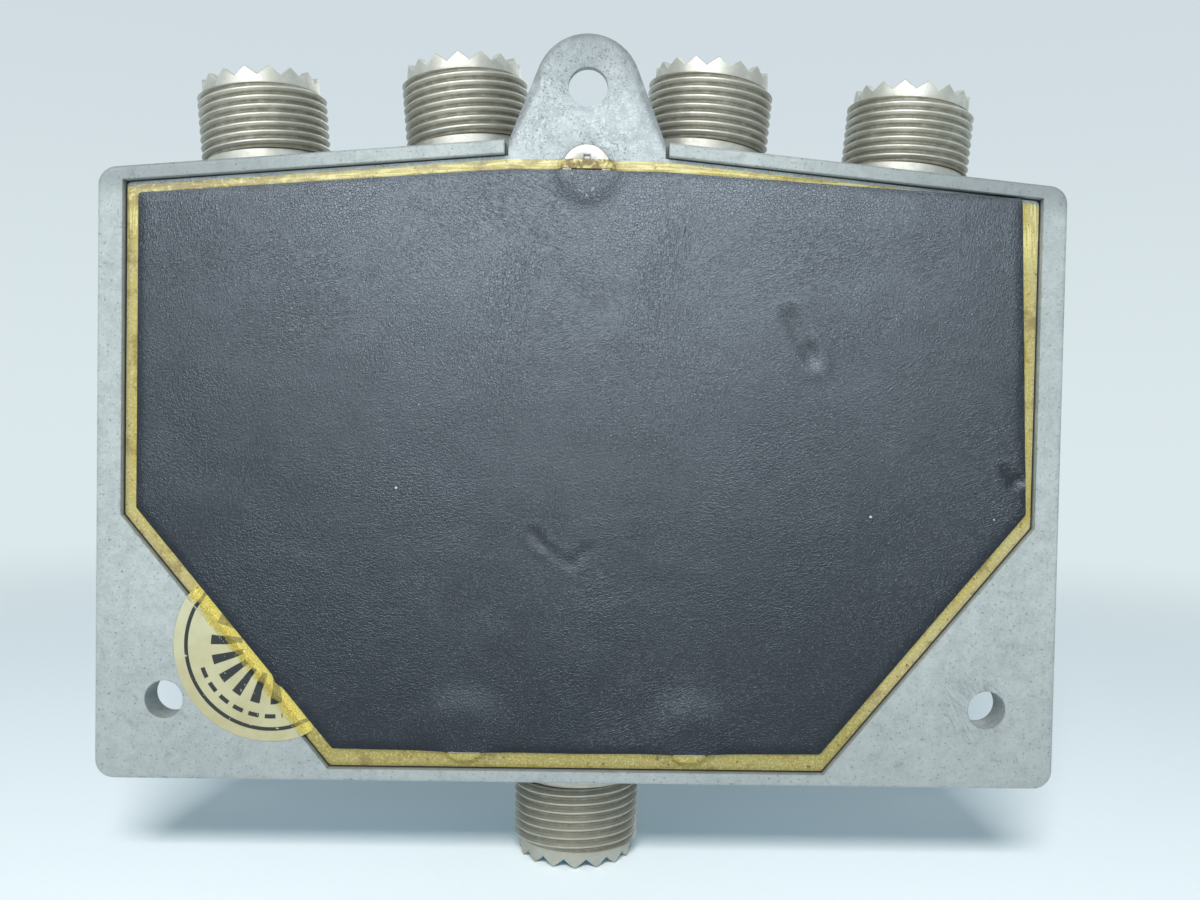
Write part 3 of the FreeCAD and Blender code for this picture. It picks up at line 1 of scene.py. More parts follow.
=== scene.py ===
"""Looks of the coaxial antenna switch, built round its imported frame.

Measures are millimetres of the frame: X to the side, Z up to the four antenna sockets, the knob on the
-Y side and the wall on the +Y side. Meshes are turned into metres as they are finished.
"""

from __future__ import annotations

import logging
import math
from dataclasses import dataclass, field
from enum import Enum
from typing import Any, Callable, Iterable, Sequence, Union

import bmesh
import bpy
from mathutils import Matrix, Vector, noise

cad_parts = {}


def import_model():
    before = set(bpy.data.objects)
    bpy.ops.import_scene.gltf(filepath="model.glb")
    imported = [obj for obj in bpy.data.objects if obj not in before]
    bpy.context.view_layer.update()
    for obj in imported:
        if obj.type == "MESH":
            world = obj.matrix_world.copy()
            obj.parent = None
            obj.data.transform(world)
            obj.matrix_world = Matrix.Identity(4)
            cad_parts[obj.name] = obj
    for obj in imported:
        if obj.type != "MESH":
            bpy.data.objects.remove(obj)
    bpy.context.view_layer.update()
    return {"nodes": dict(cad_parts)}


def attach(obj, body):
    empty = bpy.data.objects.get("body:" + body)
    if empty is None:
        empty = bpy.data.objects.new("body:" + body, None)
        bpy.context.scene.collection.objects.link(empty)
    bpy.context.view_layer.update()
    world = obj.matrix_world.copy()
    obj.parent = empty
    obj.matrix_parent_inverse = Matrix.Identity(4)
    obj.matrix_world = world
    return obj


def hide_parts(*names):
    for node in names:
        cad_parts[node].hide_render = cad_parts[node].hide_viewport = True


LOG = logging.getLogger("switch")
MM = 0.001

Colour = tuple[float, float, float]
Point = tuple[float, float]
Place = tuple[float, float, float]
Range = tuple[float, float]
Socket = bpy.types.NodeSocket
Value = Union[float, Place, Socket]
Mesh = bmesh.types.BMesh
Thing = bpy.types.Object
Nodes = dict[str, Thing]

# Places that more than one piece or finish shares.
APEX = 67.5
ROOF_SLOPE = 5.2
FOOT = -9.5
LUG_HALF = 9.3
AXIS_HEIGHT = 30.5
SEAL_CENTRE: Point = (36.3, 6.6)
TOP_HEAD: Point = (0.0, 63.3)


class Rider(Enum):
    """Bodies that pieces ride on."""

    CASE = "case"
    SELECTOR = "selector"


# --- small helpers -------------------------------------------------------------------------------


def smooth_step(low: float, high: float, value: float) -> float:
    """Rise smoothly from 0 at the low end to 1 at the high end."""
    share = min(1.0, max(0.0, (value - low) / (high - low)))
    return share * share * (3.0 - 2.0 * share)


def bell(value: float, width: float) -> float:
    """Bell curve about zero, 1 at its top."""
    return math.exp(-((value / width) ** 2))


@dataclass(frozen=True)
class Swell:
    """Smooth random unevenness over the back plane."""

    height: float
    size: float
    seed: float = 0.0

    def at(self, x: float, z: float) -> float:
        """The unevenness at a place, up to about its height either way."""
        return self.height * noise.noise(Vector((x / self.size, self.seed, z / self.size)))


def distance(x: float, z: float, point: Point) -> float:
    """Distance from a point of the back plane."""
    return math.hypot(x - point[0], z - point[1])


def sides(corners: Sequence[Point]) -> Iterable[tuple[Point, Point]]:
    """The sides of a closed line, each as its two ends."""
    return zip(corners, [*corners[1:], corners[0]])


def distance_to_stroke(x: float, z: float, start: Point, end: Point) -> float:
    """Distance from a point to a straight stroke.

    Args:
        x: place to the side.
        z: place upwards.
        start: first end of the stroke.
        end: other end.

    Returns:
        The distance in the same unit.
    """
    along = (end[0] - start[0], end[1] - start[1])
    length = along[0] ** 2 + along[1] ** 2
    share = ((x - start[0]) * along[0] + (z - start[1]) * along[1]) / length
    share = min(1.0, max(0.0, share))
    return math.hypot(x - start[0] - share * along[0], z - start[1] - share * along[1])


# --- finishes ------------------------------------------------------------------------------------


class NodeTree:
    """Node tree of a material or of the surrounding, filled by short calls."""

    def __init__(self, tree: bpy.types.NodeTree) -> None:
        """Take over a tree and empty it."""
        self.tree = tree
        self.tree.nodes.clear()

    def node(self, kind: str, values: dict[Any, Value] | None = None, **settings: Any) -> bpy.types.Node:
        """Add a node.

        Args:
            kind: Blender's name of the node type.
            values: inputs by name or number, each a plain value or a socket to link.
            settings: properties of the node.

        Returns:
            The new node.
        """
        made = self.tree.nodes.new(kind)
        for name, setting in settings.items():
            setattr(made, name, setting)
        for key, value in (values or {}).items():
            self.put(made.inputs[key], value)
        return made

    def put(self, socket: Socket, value: Value) -> None:
        """Link a socket, or set it.

        Args:
            socket: the input.
            value: a socket to link, a number, or a colour or vector of three numbers.
        """
        if isinstance(value, Socket):
            self.tree.links.new(value, socket)
        elif socket.type == "RGBA":
            socket.default_value = (*value, 1.0)
        else:
            socket.default_value = value

    def math(self, operation: str, first: Value, second: Value = 0.0) -> Socket:
        """Number arithmetic; some operations leave the second number out."""
        return self.node("ShaderNodeMath", {0: first, 1: second}, operation=operation).outputs[0]

    def chain(self, operation: str, numbers: Sequence[Value]) -> Value:
        """Join several numbers by one operation, in their order.

        Args:
            operation: Blender's name of the operation.
            numbers: the numbers.

        Returns:
            The resulting number.
        """
        result = numbers[0]
        for number in numbers[1:]:
            result = self.math(operation, result, number)
        return result

    def product(self, *numbers: Value) -> Value:
        """Multiply several numbers."""
        return self.chain("MULTIPLY", numbers)

    def total(self, *numbers: Value) -> Value:
        """Add several numbers."""
        return self.chain("ADD", numbers)

    def most(self, *numbers: Value) -> Value:
        """The greatest of several numbers."""
        return self.chain("MAXIMUM", numbers)

    def span(self, value: Value, low: float, high: float, start: float = 0.0,
             end: float = 1.0) -> Socket:
        """Pass smoothly from one number to another while the value passes from low to high."""
        values = {"Value": value, "From Min": low, "From Max": high, "To Min": start, "To Max": end}
        return self.node("ShaderNodeMapRange", values, interpolation_type="SMOOTHSTEP").outputs[0]

    def fall(self, value: Value, low: float, high: float) -> Socket:
        """Fall smoothly from 1 to 0 while the value passes from low to high."""
        return self.span(value, low, high, 1.0, 0.0)

    def mix(self, share: Value, first: Value, second: Value) -> Socket:
        """Blend two colours; a share of 0 is the first and 1 the second."""
        return self.node("ShaderNodeMix", {0: share, 6: first, 7: second}, data_type="RGBA").outputs[2]


@dataclass(frozen=True)
class Cloud:
    """Soft patches of one size, which show where their noise rises from low to high."""

    size: float
    low: float
    high: float
    detail: float = 3.0
    roughness: float = 0.55
    distortion: float = 0.0


class Painter(NodeTree):
    """Node tree of one material, in millimetres of the frame."""

    def __init__(self, name: str) -> None:
        """Start a material with a plain shader.

        Args:
            name: name of the material.
        """
        self.material = bpy.data.materials.new(name)
        self.material.use_nodes = True
        super().__init__(self.material.node_tree)
        self.shader = self.node("ShaderNodeBsdfPrincipled")
        self.output = self.node("ShaderNodeOutputMaterial", {"Surface": self.shader.outputs["BSDF"]})
        metres = self.node("ShaderNodeTexCoord").outputs["Object"]
        self.place = self.vector("SCALE", metres, Scale=1.0 / MM)
        self.shade: Value = (0.0, 0.0, 0.0)

    def set(self, **values: Value) -> None:
        """Set inputs of the shader; an underscore in a name stands for a space."""
        for name, value in values.items():
            self.put(self.shader.inputs[name.replace("_", " ")], value)

    def coat(self, colour: Value, *cover: Value) -> None:
        """Lay a colour over the shade, as far as the product of the numbers covers it."""
        self.shade = self.mix(self.product(*cover), self.shade, colour)

    def vector(self, operation: str, first: Value, second: Value | None = None,
               **named: Value) -> Socket:
        """Vector arithmetic.

        Args:
            operation: Blender's name of the operation.
            first: first vector.
            second: second vector, where there is one.
            named: further inputs by name.

        Returns:
            The resulting vector or number.
        """
        values: dict[Any, Value] = {0: first, **named}
        if second is not None:
            values[1] = second
        made = self.node("ShaderNodeVectorMath", values, operation=operation)
        return made.outputs["Value" if operation in ("LENGTH", "DISTANCE") else "Vector"]

    def axis(self, letter: str) -> Socket:
        """One coordinate of the place."""
        return self.node("ShaderNodeSeparateXYZ", {0: self.place}).outputs[letter]

    def layer(self, name: str) -> Socket:
        """A number that the mesh carries at each vertex."""
        return self.node("ShaderNodeAttribute", attribute_name=name).outputs["Fac"]

    def away(self, point: Point) -> Socket:
        """Distance from a point of the wall's plane."""
        return self.vector("DISTANCE", self.place, (point[0], 0.0, point[1]))

    def flat_about(self, point: Point) -> Socket:
        """The place from a point of the wall's plane, with its depth left out."""
        return self.vector("MULTIPLY", self.vector("SUBTRACT", self.place, (point[0], 0.0, point[1])),
                           (1.0, 0.0, 1.0))

    def noise(self, size: float, detail: float = 3.0, roughness: float = 0.55, distortion: float = 0.0,
              vector: Value | None = None) -> Socket:
        """Cloudy noise.

        Args:
            size: size of one cloud.
            detail: number of finer layers.
            roughness: strength of the finer layers.
            distortion: how far the clouds are drawn about.
            vector: place to read instead of the plain one.

        Returns:
            A number about one half.
        """
        place = self.place if vector is None else vector
        values = {"Vector": place, "Scale": 1.0 / size, "Detail": detail, "Roughness": roughness,
                  "Distortion": distortion}
        return self.node("ShaderNodeTexNoise", values).outputs[0]

    def cloud(self, cloud: Cloud) -> Socket:
        """Soft patches: 1 on a patch and 0 beside it."""
        noise = self.noise(cloud.size, cloud.detail, cloud.roughness, cloud.distortion)
        return self.span(noise, cloud.low, cloud.high)

    def specks(self, spacing: float, size: float) -> Socket:
        """Scattered round specks up to a radius: 1 on a speck and 0 beside it."""
        points = self.node("ShaderNodeTexVoronoi", {"Vector": self.place, "Scale": 1.0 / spacing})
        return self.fall(points.outputs["Distance"], 0.25 * size / spacing, size / spacing)

    def net(self, place: Value, valley: float) -> Socket:
        """Net of fine valleys between irregular cells.

        Args:
            place: place to read, one cell to the unit.
            valley: width of a valley.

        Returns:
            1 in a valley and 0 on a cell.
        """
        drift = self.node("ShaderNodeTexNoise", {"Vector": place, "Scale": 0.7, "Detail": 2.0})
        bent = self.vector("ADD", place, self.vector("SCALE", drift.outputs["Color"], Scale=1.6))
        cell = self.node("ShaderNodeTexVoronoi", {"Vector": bent, "Scale": 1.0}, feature="DISTANCE_TO_EDGE")
        return self.fall(cell.outputs["Distance"], 0.0, valley)

    def turned(self, angle: float, stretch: Place, offset: Place = (0.0, 0.0, 0.0)) -> Socket:
        """Turn a pattern in the back plane and stretch it.

        Args:
            angle: direction of the pattern's first axis, degrees from +X towards +Z.
            stretch: how much longer the pattern is along each of its own axes.
            offset: centre of the pattern.

        Returns:
            The place to read the pattern at.
        """
        values = {"Vector": self.place, "Location": offset, "Rotation": (0.0, math.radians(-angle), 0.0),
                  "Scale": stretch}
        return self.node("ShaderNodeMapping", values, vector_type="TEXTURE").outputs[0]

    def lines(self, pattern: Value, width: float) -> Socket:
        """Thin lines where a noise crosses its middle: 1 on a line and 0 beside it."""
        off = self.math("ABSOLUTE", self.math("SUBTRACT", pattern, 0.5))
        return self.fall(off, 0.0, width)

    def scratches(self, size: float, angles: Iterable[float], width: float,
                  cover: float = 0.56) -> Socket:
        """Fine scratches in several directions, each broken into short runs.

        Args:
            size: distance between the scratches.
            angles: their directions in the back plane, degrees.
            width: how wide each line is.
            cover: below this noise a scratch fades out.

        Returns:
            1 in a scratch and 0 beside it.
        """
        result: Value = 0.0
        for index, angle in enumerate(angles):
            along = self.turned(angle, (size * 14.0, size, size), (7.0 * index, 3.0, 5.0 * index))
            line = self.lines(self.noise(1.0, 1.0, 0.4, 0.15, along), width)
            where = self.turned(angle, (1.6, 1.0, 1.0), (31.0 * index, 0.0, 9.0))
            patch = self.span(self.noise(6.0, 1.0, vector=where), cover, cover + 0.06)
            result = self.most(result, self.product(line, patch))
        return result

    def bump(self, height: Value, rise: float, strength: float = 1.0) -> None:
        """Raise the surface by a height, over what is already raised.

        Args:
            height: the pattern.
            rise: height of a full step, in millimetres.
            strength: share of it that shows.
        """
        normal = self.shader.inputs["Normal"]
        made = self.node("ShaderNodeBump", {"Height": height, "Distance": rise * MM, "Strength": strength})
        if normal.links:
            self.put(made.inputs["Normal"], normal.links[0].from_socket)
        self.put(normal, made.outputs[0])

    def soften(self, radius: float) -> None:
        """Round the look of sharp edges, by a radius in millimetres."""
        made = self.node("ShaderNodeBevel", {"Radius": radius * MM}, samples=4)
        self.set(Normal=made.outputs[0])

    def grime(self, reach: float) -> Socket:
        """Painted shade and soil in corners, up to a reach in millimetres: 1 in a corner and 0 in the open.
        """
        made = self.node("ShaderNodeAmbientOcclusion", {"Distance": reach * MM}, samples=6)
        return self.fall(made.outputs["AO"], 0.35, 0.95)


class Finish:
    """A finish that is painted once and shared by its pieces."""

    name: str = "finish"
    _made: dict[str, bpy.types.Material] = {}

    def material(self) -> bpy.types.Material:
        """The finish as a material, painted where it is first asked for."""
        if self.name not in Finish._made:
            painter = Painter(self.name)
            self.paint(painter)
            Finish._made[self.name] = painter.material
        return Finish._made[self.name]

    def paint(self, painter: Painter) -> None:
        """Write the nodes.

        Args:
            painter: the material, still plain.
        """
        raise NotImplementedError


@dataclass(frozen=True)
class CastMetal(Finish):
    """Bare die casting: matt, finely mottled and specked, scratched where it is rubbed."""

    name: str = "cast_housing"
    light: Colour = (0.50, 0.54, 0.535)
    dull: Colour = (0.37, 0.41, 0.41)
    grain_light: Colour = (0.62, 0.66, 0.66)
    shadow: Colour = (0.22, 0.25, 0.26)
    scratched: Colour = (0.22, 0.24, 0.25)
    stain: Colour = (0.14, 0.15, 0.145)
    metallic: float = 0.2
    roughness: float = 0.56
    dark_foot: Range = (-12.0, 16.0)
    dark_roof: Range = (58.0, 61.5)
    dark_ends: Range = (22.0, 44.0)
    rubbed_corner: Point = (-47.4, 0.2)
    blotches: Cloud = Cloud(1.7, 0.36, 0.64, 6.0, 0.75, 0.3)
    broad_patches: Cloud = Cloud(11.0, 0.35, 0.65, 3.0, 0.5)
    specks: Cloud = Cloud(0.38, 0.60, 0.70, 2.0, 0.5)
    smudges: Cloud = Cloud(2.4, 0.56, 0.70, 5.0, 0.75, 0.8)

    def paint(self, painter: Painter) -> None:
        """Write the nodes.

        Args:
            painter: the material, still plain.
        """
        blotch = painter.cloud(self.blotches)
        broad = painter.cloud(self.broad_patches)
        grain = painter.noise(0.30, 3.0, 0.7)
        mottle = painter.total(painter.product(blotch, 0.7), painter.product(broad, 0.3))
        painter.shade = painter.mix(mottle, self.dull, self.light)
        painter.coat(self.grain_light, painter.span(grain, 0.5, 0.70), 0.5)
        height = painter.axis("Z")
        low = painter.span(height, *self.dark_foot, 0.32, 0.0)
        ends = painter.span(painter.math("ABSOLUTE", painter.axis("X")), *self.dark_ends)
        roof = painter.product(painter.span(height, *self.dark_roof), ends, 0.62)
        painter.coat(self.shadow, painter.most(low, roof))
        speck = painter.cloud(self.specks)
        smudge = painter.product(painter.cloud(self.smudges), 0.38)
        # Real specks and smudges, and painted shade in corners from the occlusion mask.
        dirt = painter.most(painter.product(speck, 0.6), painter.product(painter.grime(0.5), 0.9))
        painter.coat(self.stain, painter.most(dirt, smudge))
        fine = painter.scratches(0.8, (12.0, 71.0, 128.0), 0.010, 0.62)
        near = painter.fall(painter.away(self.rubbed_corner), 2.5, 5.5)
        deep = painter.product(painter.scratches(0.6, (38.0, 66.0), 0.03, 0.40), near)
        scratch = painter.most(painter.product(fine, 0.4), painter.product(deep, 0.8))
        painter.coat(self.scratched, scratch, 0.7)
        painter.soften(0.25)
        painter.bump(grain, 0.05, 0.6)
        painter.bump(painter.noise(1.6, 3.0), 0.07, 0.35)
        painter.bump(scratch, -0.04, 0.7)
        rough = painter.span(grain, 0.3, 0.7, self.roughness - 0.08, self.roughness + 0.12)
        painter.set(Base_Color=painter.shade, Roughness=rough, Metallic=self.metallic)


@dataclass(frozen=True)
class StampedMetal(Finish):
    """Rolled sheet metal: smoother than the casting, speckled, with painted shade towards its end and along
    its edge.
    """

    name: str = "cover_metal"
    light: Colour = (0.54, 0.59, 0.61)
    dull: Colour = (0.43, 0.475, 0.49)
    fleck_light: Colour = (0.78, 0.82, 0.84)
    dimmed: Colour = (0.25, 0.28, 0.29)
    brushed: Colour = (0.33, 0.36, 0.37)
    rolled: Colour = (0.19, 0.21, 0.22)
    scratched: Colour = (0.36, 0.39, 0.40)
    stain: Colour = (0.13, 0.14, 0.145)
    metallic: float = 0.15
    roughness: float = 0.55
    dulled: Range = (70.0, 79.0)
    eye: Point = (0.0, 73.1)
    end_radius: float = 6.25
    root: Point = (LUG_HALF, 66.5)
    blotches: Cloud = Cloud(3.4, 0.35, 0.65, 5.0, 0.7, 0.6)
    flecks: Cloud = Cloud(0.28, 0.50, 0.66, 2.0, 0.7)

    def rounded_rim(self, painter: Painter, height: Socket) -> Socket:
        """The band along the lug's edge that is painted darker as shade, where the edge rolls away.

        Args:
            painter: the material.
            height: place upwards.

        Returns:
            1 at the edge and 0 inside it.
        """
        out = painter.math("ABSOLUTE", painter.axis("X"))
        lean = (self.root[0] - self.end_radius) / (self.eye[1] - self.root[1])
        reach = painter.total(out, painter.product(painter.total(height, -self.root[1]), lean))
        flank = painter.span(reach, self.root[0] - 0.9, self.root[0] - 0.1)
        away = painter.vector("LENGTH", painter.flat_about(self.eye))
        meeting = (self.eye[1] - 1.0, self.eye[1] + 1.0)
        end = painter.product(painter.span(away, self.end_radius - 0.9, self.end_radius - 0.05),
                              painter.span(height, *meeting))
        below = painter.fall(height, *meeting)
        above_root = painter.span(height, self.root[1] - 2.0, self.root[1])
        return painter.most(painter.product(flank, below, above_root), end)

    def paint(self, painter: Painter) -> None:
        """Write the nodes.

        Args:
            painter: the material, still plain.
        """
        blotch = painter.cloud(self.blotches)
        fleck = painter.cloud(self.flecks)
        painter.shade = painter.mix(blotch, self.dull, self.light)
        painter.coat(self.fleck_light, fleck, 0.5)
        height = painter.axis("Z")
        # Painted shade: the lug grows darker towards its top end.
        wavy = painter.total(height, painter.product(painter.noise(4.0, 3.0), 5.0), -2.5)
        upper = painter.product(painter.span(wavy, *self.dulled), 0.75)
        painter.coat(self.dimmed, upper)
        strokes = painter.noise(1.0, 3.0, 0.7, 0.0, painter.turned(0.0, (3.0, 0.25, 0.25)))
        painter.coat(self.brushed, painter.span(strokes, 0.45, 0.75, 0.0, 0.35))
        # Painted shade along the lug's edge, where it rolls away from the light.
        rim = painter.product(self.rounded_rim(painter, height), 0.75)
        painter.coat(self.rolled, rim)
        pits = painter.span(painter.noise(0.22, 2.0, 0.55, 0.3), 0.56, 0.66, 0.0, 0.8)
        patch = painter.span(painter.noise(4.2, 2.0), 0.42, 0.60, 0.3, 1.0)
        # Real pits, and painted shade in corners from the occlusion mask.
        crevice_shade = painter.product(painter.grime(0.4), 0.7)
        dirt = painter.most(painter.product(pits, patch), crevice_shade)
        painter.coat(self.stain, dirt, 0.8)
        scratch = painter.scratches(0.7, (40.0, 100.0, 155.0), 0.010)
        painter.coat(self.scratched, scratch, 0.5)
        painter.bump(painter.noise(0.35, 3.0), 0.03, 0.5)
        painter.bump(dirt, -0.03, 0.5)
        painter.bump(scratch, -0.03, 0.7)
        painter.set(Base_Color=painter.shade, Metallic=self.metallic,
                    Roughness=painter.span(blotch, 0.0, 1.0, self.roughness + 0.1, self.roughness - 0.06))


@dataclass(frozen=True)
class Crease:
    """One direction of the leatherette's creases."""

    angle: float
    size: float
    stretch: float
    seed: float
    cover: float


@dataclass(frozen=True)
class Leatherette(Finish):
    """Black coated fabric: a fine net, bands of longer creases, a soft sheen, dust and scuffs."""

    name: str = "leatherette"
    face: Colour = (0.004, 0.008, 0.014)
    worn: Colour = (0.015, 0.022, 0.032)
    valley: Colour = (0.004, 0.006, 0.009)
    scuffed: Colour = (0.36, 0.38, 0.40)
    dust: Colour = (0.62, 0.64, 0.64)
    roughness: float = 0.38
    creases: tuple[Crease, ...] = (
        Crease(98.0, 0.30, 3.6, 3.0, 0.40), Crease(160.0, 0.32, 3.8, 27.0, 0.42),
        Crease(28.0, 0.30, 3.4, 61.0, 0.44))
    scuff_centre: Point = (-0.3, 62.0)
    scuff_radius: float = 2.9
    broad_patches: Cloud = Cloud(20.0, 0.35, 0.68, 4.0, 0.55)
    scuff_grain: Cloud = Cloud(0.5, 0.52, 0.62, 3.0, 0.7)

    def paint(self, painter: Painter) -> None:
        """Write the nodes.

        Args:
            painter: the material, still plain.
        """
        folds = painter.product(painter.net(painter.turned(0.0, (0.34, 0.34, 0.34)), 0.22), 0.8)
        for crease in self.creases:
            size = (crease.size * crease.stretch, crease.size, crease.size)
            line = painter.net(painter.turned(crease.angle, size, (crease.seed, 0.0, 0.0)), 0.20)
            where = painter.turned(crease.angle, (1.7, 1.0, 1.0), (crease.seed, 0.0, -crease.seed))
            band = painter.noise(15.0, 2.0, 0.5, 0.5, where)
            patch = painter.span(band, crease.cover, crease.cover + 0.22)
            folds = painter.most(folds, painter.product(line, patch))
        cloud = painter.cloud(self.broad_patches)
        tone = painter.total(painter.product(cloud, 0.25),
                             painter.span(painter.noise(0.6, 3.0, 0.7), 0.3, 0.7, 0.1, 0.5))
        painter.shade = painter.mix(tone, self.face, self.worn)
        # Painted shade: the valleys of the creases are darker.
        painter.coat(self.valley, folds, 0.5)
        # Painted shade along the dents and scratches of the marks.
        mark = painter.layer("mark")
        painter.coat(self.valley, mark, 0.75)
        reach = painter.fall(painter.away(self.scuff_centre), self.scuff_radius * 0.55, self.scuff_radius)
        rubbed = painter.product(reach, painter.cloud(self.scuff_grain))
        painter.coat(self.scuffed, rubbed, 0.55)
        painter.coat(self.dust, painter.specks(9.0, 0.2))
        painter.bump(folds, -0.03, 0.6)
        painter.bump(painter.noise(0.30, 2.0, 0.6, 0.3), 0.025, 0.55)
        painter.bump(painter.noise(6.0, 2.0, 0.5), 0.07, 0.3)
        painter.bump(rubbed, -0.06, 0.6)
        rough = painter.total(self.roughness, painter.product(cloud, -0.02), painter.product(folds, 0.04))
        painter.set(Base_Color=painter.shade, Roughness=rough, Specular_IOR_Level=0.2)


@dataclass(frozen=True)
class OldGlue(Finish):
    """Yellowed contact glue, brushed on along the edge and stained."""

    name: str = "glue"
    pale: Colour = (0.58, 0.55, 0.26)
    gold: Colour = (0.48, 0.36, 0.04)
    bright: Colour = (0.90, 0.83, 0.36)
    low_gold: Colour = (0.33, 0.27, 0.045)
    shine: Colour = (0.95, 0.86, 0.36)
    dried: Colour = (0.50, 0.43, 0.26)
    brown: Colour = (0.17, 0.095, 0.022)
    dark_top: Range = (20.0, 46.0)
    broad_patches: Cloud = Cloud(4.5, 0.36, 0.64, 4.0, 0.6, 0.5)
    spots: Cloud = Cloud(0.7, 0.62, 0.70, 3.0, 0.6, 0.3)
    burnt_patches: Cloud = Cloud(3.0, 0.52, 0.66, 4.0, 0.7)
    head_stains: Cloud = Cloud(1.0, 0.40, 0.54, 4.0, 0.7, 0.5)

    def paint(self, painter: Painter) -> None:
        """Write the nodes.

        Args:
            painter: the material, still plain.
        """
        margin = painter.layer("margin")
        across, height = painter.axis("X"), painter.axis("Z")
        drawn = painter.node("ShaderNodeCombineXYZ", {
            0: painter.product(across, 0.28), 1: painter.product(margin, 3.4),
            2: painter.product(height, 0.28)}).outputs[0]
        streak = painter.noise(1.0, 3.0, 0.6, 0.2, drawn)
        broad = painter.cloud(self.broad_patches)
        fine = painter.noise(0.3, 3.0, 0.7, 0.4)
        outer = painter.span(painter.total(margin, painter.product(streak, 0.5)), 0.75, 1.3)
        painter.shade = painter.mix(painter.span(streak, 0.30, 0.70, 0.25, 0.75), self.gold, self.pale)
        painter.coat(self.gold, broad, 0.55)
        painter.coat(self.dried, outer, 0.45)
        low = painter.span(height, -3.5, 2.0, 0.85, 0.0)
        painter.coat(self.low_gold, low, painter.span(streak, 0.3, 0.7, 1.0, 0.7))
        painter.coat(self.bright, painter.span(fine, 0.50, 0.66), 0.4)
        # Painted highlight along the streaks at the top of the glue.
        lit = painter.product(painter.span(height, 52.0, 56.0), painter.span(streak, 0.40, 0.60))
        painter.coat(self.shine, lit, 0.7)
        spots = painter.cloud(self.spots)
        burnt = painter.cloud(self.burnt_patches)
        dark = painter.most(painter.product(spots, 0.8), painter.product(burnt, 0.5))
        near = painter.span(painter.away(TOP_HEAD), 2.6, 5.0, 0.9, 0.0)
        roof = painter.product(painter.span(height, 56.0, 59.0), 0.6, painter.span(across, *self.dark_top))
        patchy = painter.cloud(self.head_stains)
        dark = painter.most(dark, painter.product(painter.most(near, roof), patchy))
        painter.coat(self.brown, dark)
        # Painted shade in corners, in the brown of the stains.
        painter.coat(self.brown, painter.grime(0.3), 0.45)
        painter.bump(streak, 0.08, 0.5)
        painter.bump(fine, 0.05, 0.8)
        painter.set(Base_Color=painter.shade, Roughness=painter.span(fine, 0.3, 0.7, 0.22, 0.44),
                    Coat_Weight=0.35, Coat_Roughness=0.2)


@dataclass(frozen=True)
class SealFoil(Finish):
    """Cream and gold foil with a plain printed ring, dashes and a wreath of bars."""

    name: str = "foil_seal"
    ring: float = 9.95
    line: float = 0.19
    dash_inset: float = 1.5
    dashes: float = 27.0
    cream: Colour = (0.60, 0.575, 0.37)
    shaded: Colour = (0.46, 0.42, 0.23)
    gold: Colour = (0.56, 0.42, 0.045)
    glint: Colour = (0.86, 0.74, 0.20)
    ink: Colour = (0.016, 0.019, 0.019)
    bars: float = 18.0
    bar_span: Range = (3.6, 7.0)
    worn_ink: Cloud = Cloud(0.5, 0.26, 0.36, 3.0)
    toning: Cloud = Cloud(4.0, 0.35, 0.7, 4.0, 0.6)
    glitter: Cloud = Cloud(0.18, 0.42, 0.60, 3.0, 0.8)

    def printing(self, painter: Painter, flat: Socket) -> Socket:
        """The ring, two arcs of dashes and the wreath of bars.

        Args:
            painter: the material.
            flat: place about the middle of the seal.

        Returns:
            1 on the ink and 0 beside it.
        """
        radius = painter.vector("LENGTH", flat)
        off = painter.math("ABSOLUTE", painter.math("SUBTRACT", radius, self.ring))
        ring = painter.fall(off, self.line, self.line + 0.07)
        parts = painter.node("ShaderNodeSeparateXYZ", {0: flat})
        turn = painter.math("ARCTAN2", parts.outputs["Z"], parts.outputs["X"])
        beat = painter.math("SINE", painter.product(turn, self.dashes))
        band = painter.math("ABSOLUTE", painter.math("SUBTRACT", radius, self.ring - self.dash_inset))
        arcs = painter.math("COSINE", painter.total(painter.product(turn, 2.0), 2.0))
        dash = painter.product(painter.span(beat, -0.55, -0.35), painter.fall(band, 0.22, 0.30),
                               painter.span(arcs, 0.05, 0.12))
        swing = painter.math("SINE", painter.product(turn, self.bars))
        near, far = self.bar_span
        bar = painter.product(painter.span(swing, -0.05, 0.2), painter.span(radius, near, near + 0.08),
                              painter.fall(radius, far, far + 0.08))
        return painter.product(painter.most(ring, dash, bar),
                               painter.cloud(self.worn_ink))

    def paint(self, painter: Painter) -> None:
        """Write the nodes.

        Args:
            painter: the material, still plain.
        """
        flat = painter.flat_about(SEAL_CENTRE)
        cloud = painter.cloud(self.toning)
        smear = painter.layer("smear")
        glitter = painter.cloud(self.glitter)
        height = painter.node("ShaderNodeSeparateXYZ", {0: flat}).outputs["Z"]
        low = painter.span(height, -11.0, 5.0, 0.55, 0.0)
        painter.shade = painter.mix(painter.total(painter.product(cloud, 0.5), low), self.cream, self.shaded)
        painter.coat(painter.mix(glitter, self.gold, self.glint), smear)
        printed = painter.product(self.printing(painter, flat), painter.span(smear, 0.6, 1.0, 1.0, 0.55))
        painter.coat(self.ink, printed)
        painter.bump(painter.noise(2.2, 3.0, 0.5, 0.6), 0.12, 0.5)
        painter.bump(painter.noise(0.3, 3.0, 0.7), 0.06, painter.span(smear, 0.0, 1.0, 0.15, 1.0))
        painter.set(Base_Color=painter.shade, Roughness=painter.span(smear, 0.0, 1.0, 0.42, 0.26),
                    Metallic=0.25, Coat_Weight=0.2, Coat_Roughness=0.25)


